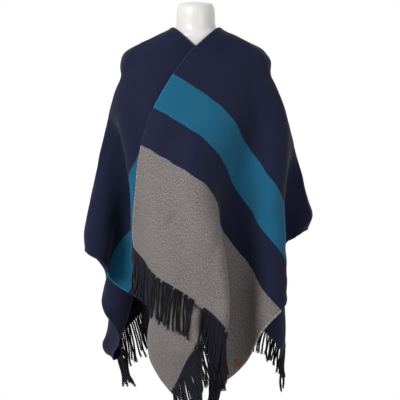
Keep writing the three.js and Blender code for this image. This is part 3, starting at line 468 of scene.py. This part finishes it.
def with_cut(grid, side, length):
    """The points, and beside each its place on the cut: out from the centre and down."""
    sign = 1 if side == "left" else -1
    flat = np.zeros((CELLS + 1, CELLS + 1, 2))
    for j in range(CELLS + 1):
        down = length * spread(j / CELLS)
        edge = hole_edge(down)
        for i in range(CELLS + 1):
            flat[i, j] = (sign * (edge + (CUT[side] - edge) * spread(i / CELLS)), down)
    return np.concatenate([grid, flat], axis=2)


def spline(rows, before=None, steps=REFINE):
    """Catmull-Rom along the first axis. "before" is the row that comes ahead of the first."""
    first = 2 * rows[0] - rows[1] if before is None else before
    full = np.concatenate([[first], rows, [2 * rows[-1] - rows[-2]]])
    made = []
    for k in range(len(rows) - 1):
        a, b, c, d = full[k:k + 4]
        for q in range(steps):
            t = q / steps
            made.append(0.5 * (2 * b + (c - a) * t + (2 * a - 5 * b + 4 * c - d) * t ** 2
                               + (3 * b - a - 3 * c + d) * t ** 3))
    made.append(rows[-1])
    return np.array(made)


def fine(grid, before=None):
    across = spline(grid, before)
    return spline(across.transpose(1, 0, 2)).transpose(1, 0, 2)


cut_back = {side: with_cut(back[side], side, -CUT["back"]) for side in back}
cut_front = {side: with_cut(front[side], side, CUT["front"]) for side in front}
fine_front = {side: fine(cut_front[side]) for side in cut_front}
fine_back = {}
for side, far_side in (("left", "right"), ("right", "left")):
    ahead = 2 * cut_back[side][0] - cut_back[side][1]
    joined = np.linalg.norm(cut_back[side][0] - cut_back[far_side][0], axis=1) < SEWN
    ahead[joined] = cut_back[far_side][1][joined]
    fine_back[side] = fine(cut_back[side], ahead)
print("fine cells of", round(1000 * CUT["front"] / CELLS / REFINE, 1), "mm")

# %% [markdown]
# Felted wool is too thick to hang quite smooth, so long shallow creases cross the panels.
# Each one is a line on the cut with a width and a depth, and it dies away at both ends.

# %% Creases and a slight unevenness
UNEVEN = {"height": 0.0006, "out": 61, "down": 47, "start": 1.3, "bend": 2.1, "bend down": 23}
MEANDER = {"reach": 0.25, "turns": 9, "by depth": 4000}
FADE = {"length": 1.25, "power": 0.7}
CREASES = [
    # panel, out a, down a, out b, down b, width, depth
    ("front left", 0.200, 0.480, 0.150, 0.590, 0.008, -0.0052),
    ("front left", 0.014, 0.480, 0.016, 0.690, 0.004, -0.0042),
    ("front left", 0.310, 0.420, 0.330, 0.640, 0.014, -0.0042),
    ("front left", 0.110, 0.250, 0.200, 0.420, 0.018, 0.0030),
    ("front left", 0.330, 0.060, 0.300, 0.300, 0.016, -0.0024),
    ("front left", 0.480, 0.200, 0.470, 0.430, 0.016, 0.0024),
    ("front right", 0.300, 0.060, 0.330, 0.260, 0.016, -0.0024),
    ("front right", 0.520, 0.080, 0.560, 0.300, 0.020, 0.0024),
    ("back", 0.180, -0.120, 0.240, -0.560, 0.024, 0.0030),
    ("back", -0.160, -0.140, -0.230, -0.540, 0.024, 0.0030),
    ("back", 0.030, -0.200, 0.050, -0.600, 0.022, -0.0026),
]


def normals_of(grid):
    along = np.gradient(grid[..., :3], axis=0)
    down = np.gradient(grid[..., :3], axis=1)
    normals = np.cross(along, down)
    return normals / np.maximum(np.linalg.norm(normals, axis=2, keepdims=True), 1e-9)


def crease(grid, panel, outside):
    """Moves the points along the outward normal by each crease, and by a faint long wave."""
    out, down = grid[..., 3], grid[..., 4]
    bend = UNEVEN["bend"] * np.sin(down * UNEVEN["bend down"])
    move = UNEVEN["height"] * np.sin(out * UNEVEN["out"] + bend)
    move *= np.sin(down * UNEVEN["down"] + UNEVEN["start"])
    for name, out_a, down_a, out_b, down_b, width, depth in CREASES:
        if name != panel:
            continue
        way = np.array([out_b - out_a, down_b - down_a])
        length = np.linalg.norm(way)
        way /= length
        u = ((out - out_a) * way[0] + (down - down_a) * way[1]) / length
        off = (out - out_a) * way[1] - (down - down_a) * way[0]
        off += MEANDER["reach"] * width * np.sin(u * MEANDER["turns"] + depth * MEANDER["by depth"])
        fade = np.clip((1 - np.abs(2 * u - 1)) * FADE["length"], 0, 1) ** FADE["power"]
        move += depth * fade * np.exp(-(off / width) ** 2)
    grid[..., :3] += outside * normals_of(grid) * move[..., None]
    return grid


def outward(grid, side, front_side):
    """+1 where the cross product of the two grid directions already points to the outside."""
    normals = normals_of(grid)
    facing = -1.0 if front_side else 1.0
    return 1.0 if (normals[..., 1] * facing).mean() > 0 else -1.0


for side in ("left", "right"):
    crease(fine_front[side], "front " + side, outward(fine_front[side], side, True))
    crease(fine_back[side], "back", outward(fine_back[side], side, False))

# %% [markdown]
# The fine grid is the middle of the cloth. Solidify gives it the thickness of felted wool on both
# sides, and the place on the cut goes with every point as the attribute that the material reads.

# %% The three panels
SAME_POINT = 2e-5


def cloth_object(name, grids, material):
    points, faces, flat = [], [], []
    for grid in grids:
        start = len(points)
        wide, high = grid.shape[:2]
        points += [tuple(p) for p in grid[..., :3].reshape(-1, 3)]
        flat += [(out, down, 0.0) for out, down in grid[..., 3:].reshape(-1, 2)]
        for i in range(wide - 1):
            for j in range(high - 1):
                a = start + i * high + j
                faces.append((a, a + high, a + high + 1, a + 1))
    mesh = bpy.data.meshes.new(name)
    mesh.from_pydata(points, [], faces)
    cloth = mesh.attributes.new("cloth", "FLOAT_VECTOR", "POINT")
    cloth.data.foreach_set("vector", np.array(flat).ravel())
    work = bmesh.new()
    work.from_mesh(mesh)
    bmesh.ops.remove_doubles(work, verts=work.verts, dist=SAME_POINT)
    bmesh.ops.recalc_face_normals(work, faces=work.faces)
    work.to_mesh(mesh)
    work.free()
    mesh.materials.append(material)
    mesh.polygons.foreach_set("use_smooth", [True] * len(mesh.polygons))
    piece = bpy.data.objects.new(name, mesh)
    scene.collection.objects.link(piece)
    solid = piece.modifiers.new("thickness", "SOLIDIFY")
    solid.thickness = WALL
    solid.offset = 0.0
    return settled(piece)


def settled(piece):
    """Turns a piece with modifiers into a plain mesh."""
    dg = bpy.context.evaluated_depsgraph_get()
    mesh = bpy.data.meshes.new_from_object(piece.evaluated_get(dg), depsgraph=dg)
    piece.modifiers.clear()
    piece.data = mesh
    print(piece.name, "has", len(mesh.polygons), "faces")
    return piece


front_left = cloth_object("front_left_cloth", [fine_front["left"]], wool)
front_right = cloth_object("front_right_cloth", [fine_front["right"]], wool)
back_cloth = cloth_object("back_cloth", [fine_back["left"], fine_back["right"]], wool)

# %% [markdown]
# Under the cloth stands a moulded form. Only its neck shows, glossy and white, with a domed cap.
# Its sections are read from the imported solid, and laid out again with many more sides.

# %% The dress form
FORM_SIDES = 96


def sections_of(name):
    """Height, half width, half depth and middle of each ring of points."""
    points, _ = clean_arrays(name)
    rows = []
    for height in sorted(set(np.round(points[:, 2], 5))):
        ring = points[np.abs(points[:, 2] - height) < SAME_POINT]
        if len(ring) > 2:
            low, high = ring.min(axis=0), ring.max(axis=0)
            middle = (low + high) / 2
            rows.append((height, (high[0] - low[0]) / 2, (high[1] - low[1]) / 2, middle[0], middle[1]))
    return np.array(rows)


def loft(name, rows, material, sides):
    angle = 2 * np.pi * np.arange(sides) / sides
    points, faces = [], []
    for height, wide, deep, x, y in rows:
        points += [(x + wide * math.cos(a), y + deep * math.sin(a), height) for a in angle]
    for m in range(len(rows) - 1):
        for q in range(sides):
            a, b = m * sides + q, m * sides + (q + 1) % sides
            faces.append((a, b, b + sides, a + sides))
    faces.append(tuple(range(sides))[::-1])
    faces.append(tuple(range((len(rows) - 1) * sides, len(rows) * sides)))
    mesh = bpy.data.meshes.new(name)
    mesh.from_pydata(points, [], faces)
    mesh.materials.append(material)
    mesh.polygons.foreach_set("use_smooth", [len(f) == 4 for f in faces])
    piece = bpy.data.objects.new(name, mesh)
    scene.collection.objects.link(piece)
    print(name, "has", len(faces), "faces")
    return piece


def form_nodes(graph):
    place = graph.node("ShaderNodeTexCoord", out=3)
    cloudy = graph.noise(place, 14.0, 3.0)
    scuffs = graph.noise(graph.stretched(place, (1.0, 1.0, 0.25)), 160.0, 3.0, 0.6)
    normal = graph.node(
        "ShaderNodeBump", None, {"Strength": 0.12, "Distance": 0.0006, "Height": cloudy})
    color = graph.mix(cloudy, linear(172, 170, 167), linear(164, 162, 159))
    return {"Base Color": color, "Roughness": 0.22 + scuffs * 0.16, "Normal": normal}


white_shell = new_material("white_moulded_shell", form_nodes, Coat_Weight=0.35, Coat_Roughness=0.08)
CAP = {"rim": 0.012, "dome": 0.004, "steps": 8, "shares": (0.8, 0.55, 0.3, 0.1, 0.01)}
rings = sections_of("form_body")
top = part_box("form_body")[1][2]
body = rings[rings[:, 0] < top - CAP["dome"] - CAP["rim"]]
fine_rings = spline(body)
neck = fine_rings[-1]
for q in range(1, CAP["steps"] + 1):
    turn = 0.5 * math.pi * q / CAP["steps"]
    inset = CAP["rim"] * (1 - math.cos(turn))
    height = neck[0] + (top - CAP["dome"] - neck[0]) * math.sin(turn)
    fine_rings = np.vstack([fine_rings, [height, neck[1] - inset, neck[2] - inset, neck[3], neck[4]]])
rim = fine_rings[-1]
for share in CAP["shares"]:
    height = rim[0] + CAP["dome"] * (1 - share ** 2)
    fine_rings = np.vstack([fine_rings, [height, rim[1] * share, rim[2] * share, rim[3], rim[4]]])
form = loft("moulded_form", fine_rings, white_shell, FORM_SIDES)

# %% [markdown]
# The stand is a steel tube and a pressed steel disc, painted black. Both are turned shapes, so a
# short profile says all: the rim of the disc and the ends of the tube have a small radius.

# %% The stand
def metal_nodes(graph):
    place = graph.node("ShaderNodeTexCoord", out=3)
    peel = graph.noise(place, 520.0, 2.0)
    dust = graph.noise(place, 11.0, 4.0, 0.6)
    normal = graph.node("ShaderNodeBump", None, {"Strength": 0.2, "Distance": 0.0002, "Height": peel})
    color = graph.mix(dust, linear(15, 15, 15), linear(24, 24, 24))
    return {"Base Color": color, "Roughness": 0.38 + dust * 0.2, "Normal": normal}


black_paint = new_material("black_paint", metal_nodes, Specular_IOR_Level=0.4)


def turned(name, node, round_edge, steps=4):
    low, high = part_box(node)
    radius = (high.x - low.x) / 2
    x, y = (high.x + low.x) / 2, (high.y + low.y) / 2
    rows = []
    for end, way in ((low.z, 1), (high.z, -1)):
        for q in range(steps + 1):
            turn = 0.5 * math.pi * q / steps
            rise, inset = 1 - math.cos(turn), 1 - math.sin(turn)
            if way < 0:
                rise, inset = inset, rise
            rows.append((end + way * round_edge * rise, radius - round_edge * inset))
    return loft(name, np.array([(z, r, r, x, y) for z, r in rows]), black_paint, FORM_SIDES)


pole = turned("steel_pole", "pole", 0.0008)
base = turned("steel_base", "base_plate", 0.0025)

# %% [markdown]
# Geometry Nodes make what repeats. A tree is built once, with named inputs for its sizes, and a
# modifier runs it on an object that holds only paths or points. The result becomes a plain mesh.

# %% Helpers for geometry trees
def new_tree(name, sizes):
    """An empty geometry tree with the given inputs, its graph, and a wire for each input."""
    tree = bpy.data.node_groups.new(name, "GeometryNodeTree")
    tree.interface.new_socket("Geometry", in_out="OUTPUT", socket_type="NodeSocketGeometry")
    tree.interface.new_socket("Geometry", in_out="INPUT", socket_type="NodeSocketGeometry")
    for label, kind in sizes.items():
        tree.interface.new_socket(label, in_out="INPUT", socket_type="NodeSocket" + kind)
    graph = Graph(tree)
    group = graph.node("NodeGroupInput").socket.node
    return tree, graph, {label: Wire(graph, group.outputs[label]) for label in ("Geometry", *sizes)}


def run_tree(name, mesh, tree, values):
    """Runs a tree on a mesh of paths or points, and gives the result as a plain piece."""
    piece = bpy.data.objects.new(name, mesh)
    scene.collection.objects.link(piece)
    modifier = piece.modifiers.new("nodes", "NODES")
    modifier.node_group = tree
    for item in tree.interface.items_tree:
        if item.in_out == "INPUT" and item.name in values:
            modifier[item.identifier] = values[item.name]
    return settled(piece)


def paths_mesh(name, paths, numbers):
    """A mesh of loose lines. "numbers" names a list with one number for each line."""
    points = [tuple(p) for path in paths for p in path]
    edges, start = [], 0
    for path in paths:
        edges += [(start + k, start + k + 1) for k in range(len(path) - 1)]
        start += len(path)
    mesh = bpy.data.meshes.new(name)
    mesh.from_pydata(points, edges, [])
    for label, values in numbers.items():
        data = mesh.attributes.new(label, "FLOAT", "POINT").data
        data.foreach_set("value", [v for path, v in zip(paths, values) for _ in path])
    return mesh


# %% [markdown]
# A fringe strand is two plies that wind round each other. On the real garment they are the warp
# ends of the cloth. The tree turns each path into a curve, winds two copies round it and sweeps a
# small circle along each. The plies part a little at the cut end.

# %% The tree for twisted yarn
YARN = {"ply": 0.0018, "winding": 0.0015, "pitch": 0.0125, "ring": 0.0025, "sides": 5}
# At the cut end the plies part by a share of the winding and thin by a share of their radius.
CUT_END = {"parts from": 0.93, "parts over": 0.07, "parts by": 0.9,
           "thins from": 0.96, "thins over": 0.06, "thins by": 0.45}


def yarn_tree():
    tree, graph, given = new_tree("twisted yarn", {
        "Ply radius": "Float", "Winding radius": "Float", "Pitch": "Float", "Ring spacing": "Float",
        "Material": "Material"})
    curve = graph.node("GeometryNodeMeshToCurve", None, {"Mesh": given["Geometry"]})
    curve = graph.node("GeometryNodeResampleCurve", {"mode": "LENGTH"},
                       {"Curve": curve, "Length": given["Ring spacing"]})
    place = graph.node("GeometryNodeSplineParameter").socket.node
    along = Wire(graph, place.outputs["Length"])
    share = Wire(graph, place.outputs["Factor"])
    phase = graph.node("GeometryNodeInputNamedAttribute", {"data_type": "FLOAT"}, {"Name": "phase"})
    tangent = graph.node("GeometryNodeInputTangent")
    normal = graph.node("GeometryNodeInputNormal")
    side = graph.node("ShaderNodeVectorMath", {"operation": "CROSS_PRODUCT"}, [tangent, normal])
    loose = 1.0 + share.above(CUT_END["parts from"], CUT_END["parts over"]) * CUT_END["parts by"]
    thin = (CUT_END["thins from"], CUT_END["thins over"])
    joined = graph.tree.nodes.new("GeometryNodeJoinGeometry")
    for half_turn in (0.0, math.pi):
        angle = along * (2 * math.pi) / given["Pitch"] + phase + half_turn
        reach = given["Winding radius"] * loose
        steps = [
            graph.node("ShaderNodeVectorMath", {"operation": "SCALE"},
                       {0: way, "Scale": angle.sum(name, angle) * reach})
            for way, name in ((normal, "COSINE"), (side, "SINE"))]
        offset = graph.node("ShaderNodeVectorMath", {"operation": "ADD"}, steps)
        ply = graph.node("GeometryNodeSetPosition", None, {"Geometry": curve, "Offset": offset})
        circle = graph.node("GeometryNodeCurvePrimitiveCircle", None,
                            {"Resolution": YARN["sides"], "Radius": given["Ply radius"]})
        swept = graph.node("GeometryNodeCurveToMesh", None, {
            "Curve": ply, "Profile Curve": circle, "Fill Caps": True,
            "Scale": 1.0 - share.above(*thin) * CUT_END["thins by"]})
        graph.tree.links.new(swept.socket, joined.inputs[0])
    both = Wire(graph, joined.outputs[0])
    smooth = graph.node("GeometryNodeSetShadeSmooth", None, {"Geometry": both})
    real = graph.node("GeometryNodeRealizeInstances", None, {"Geometry": smooth})
    done = graph.node("GeometryNodeSetMaterial", None, {"Geometry": real, "Material": given["Material"]})
    graph.node("NodeGroupOutput", None, {"Geometry": done})
    return tree


twisted = yarn_tree()
print("yarn tree has", len(twisted.nodes), "nodes")

# %% [markdown]
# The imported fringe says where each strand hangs. Its last cross-section is a triangle of a known
# size, so the strands are found by their ends and followed up ring by ring to the hem.

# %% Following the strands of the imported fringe
STRAND = {"radius": 0.0027, "end": 0.85, "within": 6e-5}
END_SIDE = STRAND["radius"] * STRAND["end"] * math.sqrt(3)


def strands_of(node):
    """For each strand, the middles of its rings from the hem to the end."""
    points, faces = clean_arrays(node)
    beside = [set() for _ in points]
    for face in faces:
        for v in face:
            beside[v].update(face)
    found = []
    for face in faces:
        sides = [np.linalg.norm(points[face[k]] - points[face[k - 1]]) for k in range(3)]
        if max(abs(side - END_SIDE) for side in sides) > STRAND["within"]:
            continue
        rings, seen = [set(face)], set(face)
        for _ in range(3):
            ring = set().union(*(beside[v] for v in rings[-1])) - seen
            rings.append(ring)
            seen |= ring
        if all(len(ring) == 3 for ring in rings[:3]) and rings[3]:
            found.append(np.array([points[list(ring)].mean(axis=0) for ring in rings[::-1]]))
    print(node, "has", len(found), "strands")
    return found


# %% [markdown]
# Each strand bites into the hem, hangs along its packed path and ends in the open. Neighbours lean
# together in bunches, each strand sways a little, and most gaps get a further strand.

# %% The three fringes
# Lengths in metres. "root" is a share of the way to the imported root, and "sway from" of a strand.
FRINGE = {
    "gap": 0.020, "chance": 0.9, "shorter": -0.10, "longer": 0.04, "root": 0.25, "steps": 5,
    "bite": 0.0065, "step in": 0.002, "off": 0.0008, "cling": 0.55, "loop": 0.7,
    "wave": 0.0042, "gather": 0.0045, "bunch": 4, "own": 0.35, "pull": 1.3,
    "sway from": 0.25, "sway power": 1.3,
}
WAVES = ((7.0, 15), (6.2, 13))


def hem_of(grid, side, front_side):
    """Points of the hem, the way into the cloth at each, and the outward normal."""
    edge, inner = grid[:, -1, :3], grid[:, -3, :3]
    inward = (inner - edge) / np.linalg.norm(inner - edge, axis=1, keepdims=True)
    return edge, inward, outward(grid, side, front_side) * normals_of(grid)[:, -1]


def sway(u, turn):
    """A slow and a fast wave in both level directions, at the shares u of a strand."""
    level = [np.sin(u * slow + turn[k]) + 0.5 * np.sin(u * fast + turn[k + 2])
             for k, (slow, fast) in enumerate(WAVES)]
    return np.hstack([*level, 0 * u])


def bite_of(edge, into, up):
    """Two points on one face of the cloth, from inside the hem to just behind its edge."""
    return [edge + into * FRINGE["bite"] + up * FRINGE["loop"], edge + into * FRINGE["step in"] + up]


def fringe(name, node, hems, seed):
    """Yarn for every packed strand, and for most gaps a further one between two neighbours."""
    draw = np.random.default_rng(seed)
    edge, inward, normal = (np.concatenate(parts) for parts in zip(*hems))
    rooted = sorted(((int(np.argmin(np.linalg.norm(edge - nodes[0], axis=1))), nodes)
                     for nodes in strands_of(node)), key=lambda item: item[0])
    strands = [(q, nodes, 0.0) for q, nodes in rooted]
    for (q, nodes), (r, later) in zip(rooted, rooted[1:]):
        if np.linalg.norm(nodes[0] - later[0]) < FRINGE["gap"] and draw.random() < FRINGE["chance"]:
            strands.append(((q + r) // 2, (nodes + later) / 2, 1.0))
    strands.sort(key=lambda item: item[0])
    gathers = [draw.normal(0, FRINGE["gather"], 3) * (1, 1, 0.2) for _ in range(len(strands))]
    lift = WALL / 2 + YARN["ply"] * FRINGE["cling"]
    paths, tones, phases = [], [], []
    for number, (q, nodes, between) in enumerate(strands):
        root, into, up = edge[q] + (nodes[0] - edge[q]) * FRINGE["root"], inward[q], normal[q]
        length = 1.0 + draw.uniform(FRINGE["shorter"], FRINGE["longer"]) * (1 + between)
        hanging = nodes[1:] if not between else nodes[1:] + (nodes[1:] - nodes[0]) * (length - 1)
        path = spline(np.vstack([
            bite_of(edge[q], into, up * lift), [root + up * FRINGE["off"]], hanging,
        ]), steps=FRINGE["steps"])
        u = np.linspace(0, 1, len(path))[:, None]
        turn = draw.uniform(0, 2 * math.pi, 4)
        bunch = gathers[number // FRINGE["bunch"]] + FRINGE["own"] * gathers[number]
        free = np.clip(u - FRINGE["sway from"], 0, 1) ** FRINGE["sway power"]
        paths.append(path + free * (FRINGE["wave"] * sway(u, turn) + FRINGE["pull"] * bunch))
        under = [*bite_of(edge[q], into, -up * lift), root - up * FRINGE["off"]]
        paths.append(spline(np.array(under), steps=FRINGE["steps"]))
        tones += [float(draw.random())] * 2
        phases += [float(draw.uniform(0, 2 * math.pi))] * 2
    print(name, "has", len(strands), "strands,", len(rooted), "of them from the packed fringe")
    mesh = paths_mesh(name, paths, {"tone": tones, "phase": phases})
    return run_tree(name, mesh, twisted, {
        "Ply radius": YARN["ply"], "Winding radius": YARN["winding"], "Pitch": YARN["pitch"],
        "Ring spacing": YARN["ring"], "Material": yarn})


SEEDS = {"left": 3, "right": 5, "back": 7}
fringe_left = fringe(
    "fringe_left_yarn", "fringe_front_left", [hem_of(fine_front["left"], "left", True)], SEEDS["left"])
fringe_right = fringe(
    "fringe_right_yarn", "fringe_front_right",
    [hem_of(fine_front["right"], "right", True)], SEEDS["right"])
fringe_rear = fringe("fringe_back_yarn", "fringe_back", [
    tuple(part[::-1] for part in hem_of(fine_back["right"], "right", False)),
    hem_of(fine_back["left"], "left", False)], SEEDS["back"])

# %% [markdown]
# The plain edges, at the opening and the sides, are bound with a fine overlock. One stitch is swept
# along a listed path, and a tree sets it on every point of the edges, reaching in on both faces.

# %% Overlock stitches along the plain edges
OVERLOCK = {"apart": 0.0021, "reach": 0.0040, "radius": 0.00055, "sink": 0.6, "neck end": 0.004}


def small_tube(path, radius, sides=4):
    points, faces = [], []
    for k, p in enumerate(path):
        way = Vector(path[min(k + 1, len(path) - 1)]) - Vector(path[max(k - 1, 0)])
        side = Vector((1, 0, 0))
        up = way.normalized().cross(side).normalized()
        for q in range(sides):
            a = 2 * math.pi * q / sides
            points.append(Vector(p) + (side * math.cos(a) + up * math.sin(a)) * radius)
    for k in range(len(path) - 1):
        for q in range(sides):
            a, b = k * sides + q, k * sides + (q + 1) % sides
            faces.append((a, b, b + sides, a + sides))
    faces += [tuple(range(sides))[::-1], tuple(range((len(path) - 1) * sides, len(path) * sides))]
    mesh = bpy.data.meshes.new("stitch")
    mesh.from_pydata(points, [], faces)
    return mesh


def stitch_tree():
    tree, graph, given = new_tree("stitches over an edge", {"Stitch": "Object", "Material": "Material"})
    ways = [graph.node("GeometryNodeInputNamedAttribute", {"data_type": "FLOAT_VECTOR"}, {"Name": name})
            for name in ("up", "inward")]
    turn = graph.node("FunctionNodeAxesToRotation", {"primary_axis": "Z", "secondary_axis": "Y"}, ways)
    shape = graph.node("GeometryNodeObjectInfo", None, {"Object": given["Stitch"]}, out=4)
    placed = graph.node("GeometryNodeInstanceOnPoints", None, {
        "Points": given["Geometry"], "Instance": shape, "Rotation": turn})
    real = graph.node("GeometryNodeRealizeInstances", None, {"Geometry": placed})
    smooth = graph.node("GeometryNodeSetShadeSmooth", None, {"Geometry": real})
    done = graph.node("GeometryNodeSetMaterial", None, {"Geometry": smooth, "Material": given["Material"]})
    graph.node("NodeGroupOutput", None, {"Geometry": done})
    return tree


def edge_points(edge, inner, normal, flat):
    """Evenly spaced places along an edge, with the ways that a stitch needs there."""
    lengths = np.concatenate([[0], np.cumsum(np.linalg.norm(np.diff(edge, axis=0), axis=1))])
    at = np.arange(OVERLOCK["apart"] / 2, lengths[-1], OVERLOCK["apart"])

    def spaced(values):
        return np.array([np.interp(at, lengths, values[:, c]) for c in range(values.shape[1])]).T

    inward = spaced(inner) - spaced(edge)
    inward /= np.linalg.norm(inward, axis=1, keepdims=True)
    return spaced(edge), inward, spaced(normal), spaced(flat)


half = WALL / 2 + OVERLOCK["radius"] * OVERLOCK["sink"]
# One leg of a stitch, from its end inside the cloth to the edge: along, inward and up.
leg = [(0.0008, OVERLOCK["reach"], half * 0.9),
       (0.0003, OVERLOCK["reach"] * 0.5, half * 1.05),
       (0.0, 0.0002, half)]
around = [(0.0, -0.0006, 0.0)]
other_leg = [(-along, inward, -up) for along, inward, up in reversed(leg)]
stitch = bpy.data.objects.new("stitch", small_tube(leg + around + other_leg, OVERLOCK["radius"]))
scene.collection.objects.link(stitch)
places = []
for side in ("left", "right"):
    for grid, name in ((fine_front[side], "front"), (fine_back[side], "back")):
        normal = normals_of(grid)
        places.append(edge_points(grid[-1, :, :3], grid[-2, :, :3], normal[-1], grid[-1, :, 3:]))
        if name == "front":
            places.append(edge_points(grid[0, :, :3], grid[1, :, :3], normal[0], grid[0, :, 3:]))
        else:
            open_rows = np.abs(grid[0, :, 4]) < NECK["back"] - OVERLOCK["neck end"]
            places.append(edge_points(grid[0, open_rows, :3], grid[1, open_rows, :3],
                                      normal[0, open_rows], grid[0, open_rows, 3:]))
spots, inward, up, flat = (np.concatenate(parts) for parts in zip(*places))
edge_mesh = bpy.data.meshes.new("edge_points")
edge_mesh.from_pydata([tuple(p) for p in spots], [], [])
cloth_place = np.hstack([flat, np.zeros((len(flat), 1))])
for name, values in (("inward", inward), ("up", up), ("cloth", cloth_place)):
    edge_mesh.attributes.new(name, "FLOAT_VECTOR", "POINT").data.foreach_set("vector", values.ravel())
overlock = run_tree("edge_overlock", edge_mesh, stitch_tree(), {"Stitch": stitch, "Material": thread})
bpy.data.objects.remove(stitch)
print(len(spots), "overlock stitches")

# %% [markdown]
# A small leather tab is sewn near the side edge of the left front, low down: a bare patch with
# round corners and a pressed border, laid on the cloth and a little domed, as cut hide is.

# %% The leather tab
TAB = {"out": 0.694, "down": 0.620, "width": 0.021, "height": 0.013, "thick": 0.0012,
       "corner": 0.0025, "turns": 6, "off": 0.0003}
# The tab's profile from the cloth up: a share of the outline, and a share of the thickness.
TAB_LEVELS = [(1.0, 0.0), (1.0, 0.75), (0.965, 0.97), (0.90, 1.0), (0.87, 0.86), (0.84, 1.0),
              (0.45, 1.12)]


def leather_nodes(graph):
    place = graph.node("ShaderNodeTexCoord", out=3)
    cells = graph.node("ShaderNodeTexVoronoi", {"feature": "F1"}, {"Vector": place, "Scale": 1400.0})
    cloudy = graph.noise(place, 160.0, 3.0)
    normal = graph.node("ShaderNodeBump", None, {"Strength": 0.4, "Distance": 0.0003, "Height": cells})
    color = graph.mix(cloudy, linear(128, 66, 20), linear(88, 42, 12))
    return {"Base Color": color, "Roughness": 0.42 + cloudy * 0.2, "Normal": normal}


tan_leather = new_material("tan_leather", leather_nodes, Specular_IOR_Level=0.45)


def leather_tab(grid, outside):
    gap = (grid[..., 3] - TAB["out"]) ** 2 + (grid[..., 4] - TAB["down"]) ** 2
    i, j = np.unravel_index(np.argmin(gap), gap.shape)
    centre, up = grid[i, j, :3], outside * normals_of(grid)[i, j]
    across = grid[i + 1, j, :3] - grid[i - 1, j, :3]
    across -= up * (across @ up)
    across /= np.linalg.norm(across)
    along = np.cross(up, across)
    if along @ (grid[i, j + 1, :3] - grid[i, j - 1, :3]) < 0:
        along = -along
    outline = []
    corner = TAB["corner"]
    wide, high = TAB["width"] / 2 - corner, TAB["height"] / 2 - corner
    for sx, sy, first in ((1, 1, 0), (-1, 1, 90), (-1, -1, 180), (1, -1, 270)):
        for k in range(TAB["turns"] + 1):
            a = math.radians(first + 90 / TAB["turns"] * k)
            outline.append((sx * wide + corner * math.cos(a), sy * high + corner * math.sin(a)))
    work = bmesh.new()
    rings = []
    for share, thick in TAB_LEVELS:
        floor_point = centre + up * (WALL / 2 + TAB["off"] + TAB["thick"] * thick)
        rings.append([work.verts.new(Vector(floor_point + across * x * share + along * y * share))
                      for x, y in outline])
    for low, high_ring in zip(rings, rings[1:]):
        for k in range(len(outline)):
            m = (k + 1) % len(outline)
            work.faces.new((low[k], low[m], high_ring[m], high_ring[k]))
    work.faces.new(rings[0][::-1])
    work.faces.new(rings[-1])
    bmesh.ops.recalc_face_normals(work, faces=work.faces)
    mesh = bpy.data.meshes.new("tan_tab")
    work.to_mesh(mesh)
    work.free()
    mesh.materials.append(tan_leather)
    piece = bpy.data.objects.new("tan_tab", mesh)
    scene.collection.objects.link(piece)
    return piece


tab = leather_tab(fine_front["left"], outward(fine_front["left"], "left", True))
print("tab at", [round(v, 3) for v in tab.data.vertices[0].co])

# %% [markdown]
# Nothing moves here, so all pieces ride on one body. Each piece takes the place of the imported part it is
# made from, which is hidden.

# %% Pieces on the body
for piece, node, finish in (
    (front_left, "front_panel_left", "navy_wool"), (front_right, "front_panel_right", "navy_wool"),
    (back_cloth, "back_panel", "navy_wool"), (form, "form_body", "white_form"),
    (pole, "pole", "black_metal"), (base, "base_plate", "black_metal"),
    (fringe_left, "fringe_front_left", "navy_yarn"), (fringe_right, "fringe_front_right", "navy_yarn"),
    (fringe_rear, "fringe_back", "navy_yarn"), (tab, "leather_tab", "tab_leather"),
):
    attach(piece, "root")
    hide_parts(node)
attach(overlock, "root")

print("three sheets of", CUT["left"] + CUT["right"], "m across in all")

# %% [markdown]
# A key light from the left and a weak fill from the right give the folds their shade.

# %% The floor, the light and the white surroundings
FLOOR = {"radius": 2.2, "sides": 96}
floor_mesh = bpy.data.meshes.new("floor")
ring = [(FLOOR["radius"] * math.cos(a), FLOOR["radius"] * math.sin(a), 0.0)
        for a in np.linspace(0, 2 * math.pi, FLOOR["sides"], endpoint=False)]
floor_mesh.from_pydata(ring, [], [tuple(range(FLOOR["sides"]))])
floor = bpy.data.objects.new("floor", floor_mesh)
scene.collection.objects.link(floor)


def floor_nodes(graph):
    place = graph.node("ShaderNodeTexCoord", out=3)
    cloudy = graph.noise(place, 3.0, 3.0)
    return {"Base Color": graph.mix(cloudy, linear(212, 212, 210), linear(204, 204, 202)),
            "Roughness": 0.75 + cloudy * 0.1}


floor_mesh.materials.append(new_material("pale_floor", floor_nodes))

world = bpy.data.worlds.new("studio")
world.use_nodes = True
studio = Graph(world.node_tree)
surround = studio.node("ShaderNodeBackground", None, {"Color": (1, 1, 1, 1), "Strength": 1.0})
studio.node("ShaderNodeOutputWorld", None, {"Surface": surround})
scene.world = world

AIM = (0.0, 0.0, 0.95)
LIGHTS = [
    # name, place, size, power
    ("key", (-2.9, -3.2, 3.1), 1.6, 270.0),
    ("fill", (2.4, -4.0, 0.8), 2.5, 36.0),
]
for name, place, size, power in LIGHTS:
    light = bpy.data.lights.new(name, "AREA")
    light.size = size
    light.energy = power
    lamp = bpy.data.objects.new(name, light)
    lamp.location = place
    aim = Vector(AIM) - Vector(place)
    lamp.rotation_mode = "QUATERNION"
    lamp.rotation_quaternion = aim.to_track_quat("-Z", "Y")
    scene.collection.objects.link(lamp)
scene.view_settings.view_transform = "Standard"
